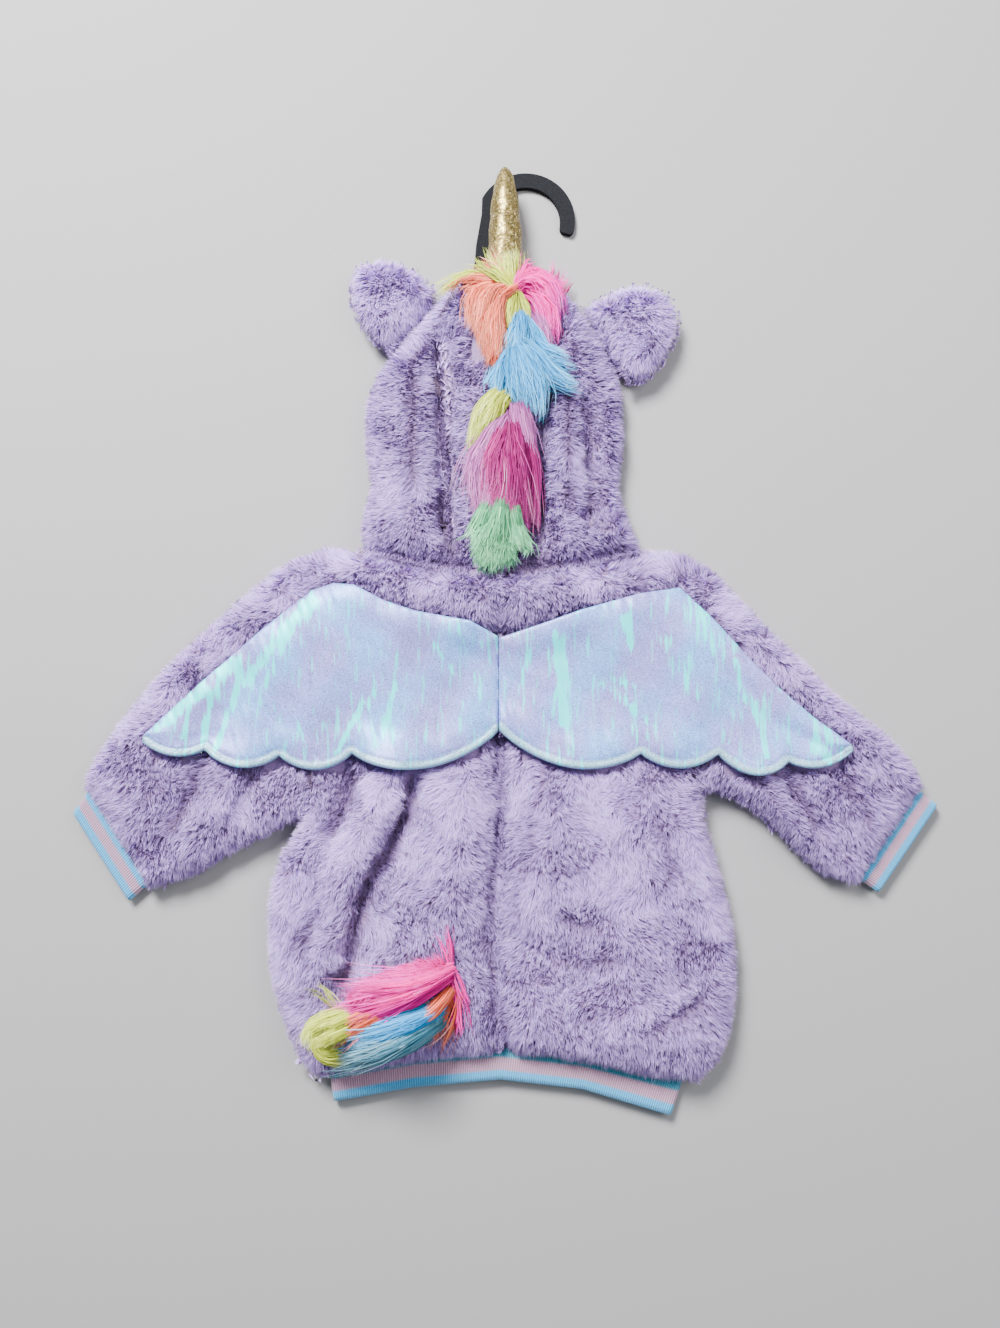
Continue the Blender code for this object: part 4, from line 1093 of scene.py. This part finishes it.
HAIR = {
    # root, middle and tip colours of each lock
    "coral": ((.45, .045, .028), (.86, .14, .075), (1.0, .34, .21)),
    "lime": ((.28, .33, .02), (.54, .62, .05), (.80, .88, .20)),
    "pink": ((.60, .002, .18), (1.0, .004, .36), (1.0, .05, .56)),
    "blue": ((.012, .14, .34), (.022, .33, .72), (.14, .58, .95)),
    "magenta": ((.13, .002, .050), (.31, .006, .13), (.55, .05, .29)),
    "lilac": ((.20, .04, .16), (.42, .10, .34), (.66, .23, .56)),
    "green": ((.04, .17, .07), (.10, .42, .19), (.26, .74, .38)),
    "teal": ((.03, .13, .20), (.09, .31, .43), (.34, .60, .70)),
}
STROKES = [
    # node, colour, path of X and Y, spread at root, middle and tip, lift, strands
    ("mane_coral", "coral", [(.004, .228), (-.010, .231), (-.026, .233), (-.041, .232)],
     .004, .006, .003, .009, 150),
    ("mane_coral", "lime", [(-.002, .231), (-.020, .236), (-.036, .235), (-.046, .231)],
     .003, .004, .002, .007, 60),
    ("mane_coral", "coral", [(.004, .226), (-.008, .222), (-.016, .210), (-.019, .194)],
     .004, .005, .003, .011, 190),
    ("mane_coral", "coral", [(.004, .225), (-.005, .216), (-.010, .200), (-.012, .182)],
     .004, .005, .003, .012, 190),
    ("mane_coral", "coral", [(.001, .221), (-.006, .208), (-.008, .190), (-.003, .167)],
     .004, .005, .002, .012, 190),
    ("mane_coral", "coral", [(.000, .218), (-.004, .204), (-.005, .188), (-.008, .180)],
     .003, .004, .002, .010, 120),
    ("mane_coral", "coral", [(-.006, .226), (-.017, .222), (-.022, .210), (-.023, .196)],
     .003, .004, .003, .008, 120),
    ("mane_lime_upper", "lime", [(.005, .225), (-.004, .231), (-.012, .239), (-.020, .248)],
     .004, .005, .003, .013, 110),
    ("mane_lime_upper", "lime", [(-.004, .230), (-.014, .238), (-.021, .247), (-.026, .255)],
     .003, .005, .004, .009, 30),
    ("mane_coral", "lime", [(-.010, .232), (-.024, .238), (-.036, .240), (-.047, .237)],
     .003, .005, .003, .008, 30),
    ("mane_lime_upper", "lime", [(.004, .226), (-.001, .234), (-.005, .244), (-.009, .254)],
     .004, .006, .005, .007, 90),
    ("mane_coral", "coral", [(.004, .226), (.000, .234), (-.004, .243), (-.010, .251)],
     .004, .006, .005, .007, 80),
    ("mane_lime_upper", "lime", [(.004, .226), (.003, .234), (.002, .243), (.000, .252)],
     .004, .006, .005, .007, 90),
    ("mane_pink", "pink", [(.006, .226), (.008, .234), (.010, .243), (.012, .252)],
     .004, .006, .005, .007, 100),
    ("mane_pink", "pink", [(.008, .226), (.014, .235), (.019, .242), (.024, .247)],
     .004, .005, .004, .013, 100),
    ("mane_lime_upper", "lime", [(.006, .224), (.005, .212), (.003, .200), (.003, .187)],
     .003, .006, .003, .012, 190),
    ("mane_lime_upper", "lime", [(.007, .224), (.012, .216), (.016, .206), (.018, .196)],
     .002, .003, .002, .012, 80),
    ("mane_lime_upper", "coral", [(.010, .226), (.002, .220), (-.006, .214), (-.014, .212)],
     .003, .003, .002, .013, 60),
    ("mane_pink", "pink", [(.008, .228), (.018, .234), (.028, .230), (.036, .224)],
     .004, .007, .005, .013, 220),
    ("mane_pink", "pink", [(.010, .226), (.020, .228), (.030, .222), (.034, .206)],
     .004, .007, .004, .012, 200),
    ("mane_pink", "pink", [(.012, .222), (.022, .216), (.030, .204), (.032, .188)],
     .003, .006, .003, .010, 150),
    ("mane_pink", "lilac", [(.014, .216), (.022, .206), (.028, .194), (.030, .180)],
     .003, .005, .003, .008, 120),
    ("mane_pink", "pink", [(.024, .226), (.032, .234), (.036, .246), (.038, .256)],
     .002, .004, .004, .008, 16),
    ("mane_pink", "pink", [(.028, .224), (.038, .232), (.044, .242), (.048, .244)],
     .002, .004, .004, .008, 16),
    ("mane_blue", "blue", [(.008, .212), (.010, .200), (.010, .186), (.008, .176)],
     .003, .006, .006, .010, 170),
    ("mane_blue", "blue", [(.010, .210), (.018, .196), (.024, .182), (.031, .174)],
     .003, .007, .004, .012, 190),
    ("mane_blue", "blue", [(.010, .198), (.022, .184), (.034, .176), (.047, .174)],
     .003, .006, .002, .012, 110),
    ("mane_blue", "blue", [(.006, .192), (.020, .176), (.034, .162), (.049, .158)],
     .004, .007, .002, .013, 120),
    ("mane_blue", "blue", [(.006, .188), (.014, .170), (.020, .156), (.021, .142)],
     .005, .009, .004, .014, 260),
    ("mane_blue", "blue", [(.006, .184), (.008, .170), (.012, .154), (.016, .145)],
     .004, .009, .005, .013, 220),
    ("mane_blue", "blue", [(.004, .182), (.000, .172), (-.002, .160), (-.002, .148)],
     .004, .007, .005, .011, 190),
    ("mane_blue", "blue", [(.002, .178), (-.004, .168), (-.008, .160), (-.011, .156)],
     .003, .004, .002, .008, 80),
    ("mane_lime", "lime", [(-.002, .156), (-.010, .146), (-.017, .134), (-.022, .114)],
     .004, .005, .002, .009, 170),
    ("mane_lime", "lime", [(.000, .152), (-.007, .144), (-.011, .134), (-.016, .126)],
     .004, .006, .003, .010, 160),
    ("mane_lime", "lime", [(.002, .150), (-.002, .143), (-.006, .136), (-.009, .130)],
     .003, .004, .003, .009, 90),
    ("mane_magenta", "lilac", [(.006, .146), (.008, .134), (.012, .116), (.016, .100)],
     .006, .007, .004, .011, 220),
    ("mane_magenta", "lilac", [(.002, .140), (-.006, .124), (-.018, .100), (-.023, .080)],
     .005, .008, .005, .013, 260),
    ("mane_magenta", "magenta", [(.000, .134), (-.003, .116), (-.008, .098), (-.006, .076)],
     .005, .008, .005, .014, 240),
    ("mane_magenta", "magenta", [(.004, .138), (.005, .116), (.006, .092), (.012, .062)],
     .006, .008, .004, .014, 280),
    ("mane_magenta", "magenta", [(.008, .136), (.014, .114), (.016, .092), (.016, .066)],
     .004, .006, .004, .012, 220),
    ("mane_magenta", "lilac", [(-.006, .128), (-.014, .110), (-.016, .092), (-.012, .072)],
     .004, .007, .005, .012, 200),
    ("mane_magenta", "magenta", [(-.002, .124), (.000, .106), (.002, .088), (.000, .070)],
     .004, .007, .005, .013, 180),
    ("mane_green", "green", [(-.010, .076), (-.014, .066), (-.018, .057), (-.020, .050)],
     .004, .005, .004, .006, 180),
    ("mane_green", "green", [(-.002, .078), (-.004, .066), (-.006, .056), (-.008, .048)],
     .004, .006, .005, .007, 200),
    ("mane_green", "green", [(.004, .072), (.005, .062), (.007, .053), (.009, .046)],
     .004, .005, .005, .006, 200),
    ("mane_green", "green", [(-.006, .068), (-.010, .058), (-.013, .051), (-.015, .045)],
     .006, .007, .006, .006, 150),
    ("mane_green", "green", [(.008, .062), (.011, .054), (.013, .048), (.012, .044)],
     .003, .004, .003, .005, 90),
    ("tail_pink", "pink", [(-.036, -.223), (-.056, -.228), (-.078, -.233), (-.100, -.239)],
     .002, .005, .006, .019, 260),
    ("tail_pink", "pink", [(-.036, -.226), (-.058, -.234), (-.082, -.243), (-.106, -.253)],
     .002, .007, .007, .021, 320),
    ("tail_pink", "pink", [(-.037, -.230), (-.060, -.240), (-.084, -.250), (-.108, -.261)],
     .002, .007, .006, .020, 300),
    ("tail_pink", "coral", [(-.070, -.246), (-.086, -.250), (-.098, -.256), (-.112, -.264)],
     .003, .006, .005, .020, 110),
    ("tail_pink", "pink", [(-.036, -.222), (-.038, -.213), (-.040, -.206), (-.043, -.198)],
     .002, .004, .006, .006, 12),
    ("tail_pink", "pink", [(-.034, -.226), (-.030, -.236), (-.028, -.243), (-.026, -.250)],
     .002, .004, .006, .006, 14),
    ("tail_blue", "blue", [(-.040, -.246), (-.060, -.252), (-.084, -.262), (-.106, -.270)],
     .004, .007, .005, .019, 300),
    ("tail_blue", "teal", [(-.040, -.252), (-.062, -.260), (-.086, -.270), (-.108, -.278)],
     .004, .008, .005, .014, 280),
    ("tail_blue", "teal", [(-.050, -.262), (-.070, -.272), (-.092, -.280), (-.112, -.284)],
     .004, .006, .004, .008, 180),
    ("tail_blue", "coral", [(-.034, -.236), (-.042, -.244), (-.052, -.250), (-.066, -.254)],
     .003, .005, .005, .016, 46),
    ("tail_blue", "coral", [(-.032, -.240), (-.036, -.252), (-.042, -.262), (-.050, -.270)],
     .003, .006, .006, .008, 34),
    ("tail_blue", "pink", [(-.030, -.238), (-.028, -.250), (-.028, -.260), (-.030, -.266)],
     .002, .005, .006, .006, 18),
    ("tail_lime", "lime", [(-.094, -.250), (-.110, -.253), (-.121, -.260), (-.122, -.271)],
     .004, .004, .003, .016, 200),
    ("tail_lime", "lime", [(-.094, -.256), (-.108, -.260), (-.116, -.266), (-.115, -.275)],
     .005, .005, .003, .018, 200),
    ("tail_lime", "lime", [(-.120, -.262), (-.117, -.272), (-.110, -.277), (-.098, -.279)],
     .003, .004, .004, .013, 130),
    ("tail_lime", "lime", [(-.106, -.246), (-.112, -.238), (-.115, -.232), (-.121, -.226)],
     .003, .006, .007, .007, 7),
]
STRAND_STEPS = 6
STRANDS_EACH = 1.9
TUFT_STRANDS = 26
STRAND_WIDTH = .00022
STRAND_TAPER = [.8, 1, 1, .9, .6, .05]
# Share of white in the painted highlight at the hair tips.
TIP_HIGHLIGHT = .38
CORE_INSET = .0032
CORE_SHARE = .34
DOWN_SPACING = .0014
DOWN_SINK = .0030
DOWN_RISE = -.15
LOCK_COLOURS = {
    "mane_coral": "coral", "mane_lime_upper": "lime", "mane_pink": "pink", "mane_blue": "blue",
    "mane_lime": "lime", "mane_magenta": "magenta", "mane_green": "green", "tail_pink": "pink",
    "tail_blue": "teal", "tail_lime": "lime",
}


def curve_points(path):
    """Even points of a smooth curve through a short path."""
    path = np.array(path)
    ends = np.vstack([2 * path[0] - path[1], path, 2 * path[-1] - path[-2]])
    spans = len(path) - 1
    made = []
    for share in np.linspace(0, spans, STRAND_STEPS):
        index = min(int(share), spans - 1)
        t = share - index
        a, b, c, d = ends[index:index + 4]
        made.append(.5 * (2 * b + (c - a) * t + (2 * a - 5 * b + 4 * c - d) * t * t
                          + (3 * b - a - 3 * c + d) * t ** 3))
    return np.array(made)


def ground_height(tree, places):
    """Height of the cloth below each place."""
    hits = [drop(tree, x, y) for x, y in places]
    return np.array([hit.z if hit else .0040 for hit in hits])


def strands(stroke, trees):
    """Ribbon strands of one stroke: points, quads, tone and normals."""
    _, _, path, root, middle, tip, lift, count = stroke
    count = int(count * STRANDS_EACH)
    guide = curve_points(path)
    share = np.linspace(0, 1, STRAND_STEPS)
    along = np.gradient(guide, axis=0)
    along /= np.linalg.norm(along, axis=1, keepdims=True)
    side = np.column_stack([along[:, 1], -along[:, 0]])
    spread = np.interp(share, [0, .5, 1], [root, middle, tip])
    cloth, locks, stump = (ground_height(tree, guide) for tree in trees)
    ground = np.maximum(np.maximum(cloth, locks - .62 * lift), stump)
    ground = np.convolve(np.pad(ground, 1, mode="edge"), (.25, .5, .25), mode="valid")
    tufts = max(3, count // TUFT_STRANDS)
    tuft = rng.integers(0, tufts, count)
    tuft_place = np.linspace(-1, 1, tufts) + rng.normal(0, .12, tufts)
    stray = rng.random(count) < .16
    loose = np.where(stray, .80, .34)
    place = np.clip(tuft_place[tuft] + rng.normal(0, 1, count) * loose, -1.5, 1.5)
    layer = rng.random(count)
    bend = rng.normal(0, .42, tufts)[tuft] + rng.normal(0, .12, count) + stray * rng.normal(0, 1.2, count)
    closing = (1 - share ** 2)[None, :]
    within = (place - tuft_place[tuft])[:, None] * (.42 + .58 * closing)
    across = (tuft_place[tuft][:, None] + within + bend[:, None] * share ** 2) * spread
    length = np.clip(rng.uniform(.74, 1.0, tufts)[tuft] + rng.normal(0, .06, count), .5, 1.12)
    wave = .0011 * np.sin(share * rng.uniform(2, 7, (count, 1)) + rng.uniform(0, 6.3, (count, 1)))
    wave += .0015 * np.sin(share * rng.uniform(2, 5, tufts)[tuft][:, None] + tuft[:, None])
    wave *= share
    points = guide[None] + side[None] * (across + wave)[:, :, None]
    points = points[:, :1] + (points - points[:, :1]) * length[:, None, None]
    points += along[0] * rng.normal(0, .0016, (count, 1, 1))
    arch = np.sin(math.pi * share ** .8) * .85 + .15
    dome = np.sqrt(ease(1 - place ** 2 * .55))
    height = ground + .0012 + lift * arch * (dome * (.30 + .70 * layer))[:, None]
    width = STRAND_WIDTH * rng.uniform(.6, 1.5, (count, 1)) * np.array(STRAND_TAPER)
    left = points - side[None] * width[:, :, None]
    right = points + side[None] * width[:, :, None]
    roll = rng.normal(0, .5, (count, 1)) * width
    made = np.stack([np.concatenate([left, (height - roll)[:, :, None]], axis=2),
                     np.concatenate([right, (height + roll)[:, :, None]], axis=2)], axis=2)
    index = np.arange(count * STRAND_STEPS * 2).reshape(count, STRAND_STEPS, 2)
    faces = np.stack([index[:, :-1, 0], index[:, :-1, 1], index[:, 1:, 1], index[:, 1:, 0]], axis=-1)
    tone = np.ones((count, STRAND_STEPS, 2, 4))
    # Painted light: strands higher in the lock are lighter and brighter, and stray strands and a few random
    # ones pale as painted highlights.
    painted_highlight = .10 * layer + .22 * stray + .26 * (rng.random(count) < .07)
    tone[..., 0] = ease(.22 + .26 * share + .26 * share ** 4 + painted_highlight[:, None])[:, :, None]
    tone[..., 1] = (rng.random(count) * 1.3 - .5 + .3 * layer)[:, None, None]
    tilt = np.repeat((place * .8)[:, None], STRAND_STEPS, axis=1)
    normals = np.stack([side[None, :, 0] * tilt, side[None, :, 1] * tilt, np.ones_like(tilt)], axis=-1)
    normals = unit(normals.reshape(-1, 3)).reshape(count, STRAND_STEPS, 1, 3)
    normals = np.repeat(normals, 2, axis=2)
    return made.reshape(-1, 3), faces.reshape(-1, 4), tone.reshape(-1, 4), normals.reshape(-1, 3)


def lock_base(name, material):
    """The body of a lock under its strands: its solid, a little smaller."""
    points, triangles, normals = surface_of(name)
    own = tree_of([name])
    through = []
    for point, normal in zip(points, normals):
        far = own.ray_cast(Vector(point - normal * 1e-5), Vector(-normal), .05)[3]
        through.append(far if far else .002)
    inset = np.minimum(CORE_INSET, CORE_SHARE * np.array(through))
    mesh = mesh_of("core_" + name, points - normals * inset[:, None], triangles)
    mesh.shade_smooth()
    piece = new_object("core_" + name, mesh, material)
    smooth = piece.modifiers.new("round", "SUBSURF")
    smooth.levels = 1
    smooth.render_levels = 1
    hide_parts(name)


def lock_fur(name, guides):
    """Short hair that covers a lock, each hair along the nearest stroke and in its colour."""
    points, triangles, normals = surface_of(name)
    places, facing = scatter(points - normals * DOWN_SINK, triangles, normals, DOWN_SPACING)
    upper = facing[:, 2] > DOWN_RISE
    places, facing = places[upper], facing[upper]
    best = np.full(len(places), 1.0)
    lay = np.zeros_like(places)
    colour = np.zeros(len(places), dtype=int)
    for index, (path, _) in enumerate(guides):
        line = curve_points(path)
        for start, end in zip(line, line[1:]):
            gap, _ = to_segment(places, start, end)
            nearer = gap < best
            best[nearer] = gap[nearer]
            lay[nearer, :2] = (end - start) / np.linalg.norm(end - start)
            colour[nearer] = index
    lay += rng.normal(0, .16, lay.shape)
    lay -= facing * np.sum(lay * facing, axis=1, keepdims=True)
    made = {}
    for index, (_, hue) in enumerate(guides):
        own = colour == index
        if own.any():
            count = int(own.sum())
            height = rng.uniform(.0013, .0026, count)
            made.setdefault(hue, []).append(blades(
                places[own], facing[own], unit(lay[own]), height, rng.uniform(2.6, 4.6, count),
                np.full(count, .8), 4, .0016, .00024))
    return made


def hair_material(name):
    root, middle, tip = HAIR[name]
    # The last, paler stop is a painted highlight at the hair tips.
    tip_highlight = [value + (1 - value) * TIP_HIGHLIGHT for value in tip]
    stops = [(.0, root), (.42, middle), (.80, tip), (1.0, tip_highlight)]
    return pile_material("hair_" + name, stops, .60, .0)


def add_hair():
    cloth = ["back_left", "back_right", "hood_left", "hood_right", "hood_centre", "hem_band"]
    locks = [name for name in nodes if name.startswith(("mane", "tail"))]
    trees = [tree_of(cloth), tree_of(locks), tree_of(["horn"])]
    looks = {name: hair_material(name) for name in HAIR}
    cores = {name: cloth_material("core_" + name, colours[1], colours[0])
             for name, colours in HAIR.items()}
    for name, colour in LOCK_COLOURS.items():
        lock_base(name, cores[colour])
    groups = {}
    for stroke in STROKES:
        groups.setdefault((stroke[0], stroke[1]), []).append(strands(stroke, trees))
    for name in LOCK_COLOURS:
        guides = [(stroke[2], stroke[1]) for stroke in STROKES if stroke[0] == name]
        for colour, made in lock_fur(name, guides).items():
            add_fur("down_", name, colour, made, looks)
    for (name, colour), made in groups.items():
        add_fur("strands_", name, colour, made, looks)


def add_fur(kind, name, colour, made, looks):
    mesh = mesh_of(kind + name + "_" + colour, *joined(made))
    new_object(kind + name + "_" + colour, mesh, looks[colour])


wing_tree = tree_of(["wing_left", "wing_right"])

add_world()
add_camera()
add_light("key", (-.62, 1.10, 1.35), (0, -.05, 0), (.6, .6), 134, (.97, .96, 1.0))
add_light("fill", (.95, .35, 1.2), (0, 0, 0), (1.0, 1.0), 18, (.98, .96, 1.0))
add_floor()
add_plush()
stitching = cloth_material("thread", (.62, .80, .82), (.45, .60, .66))
for hand, lie in zip(SIDES, (34, -34)):
    wing(hand, wing_material(lie), stitching)
add_ribs()
horn(glitter_material())
nodes["hanger"].material_slots[0].material = plastic_material()
add_hair()
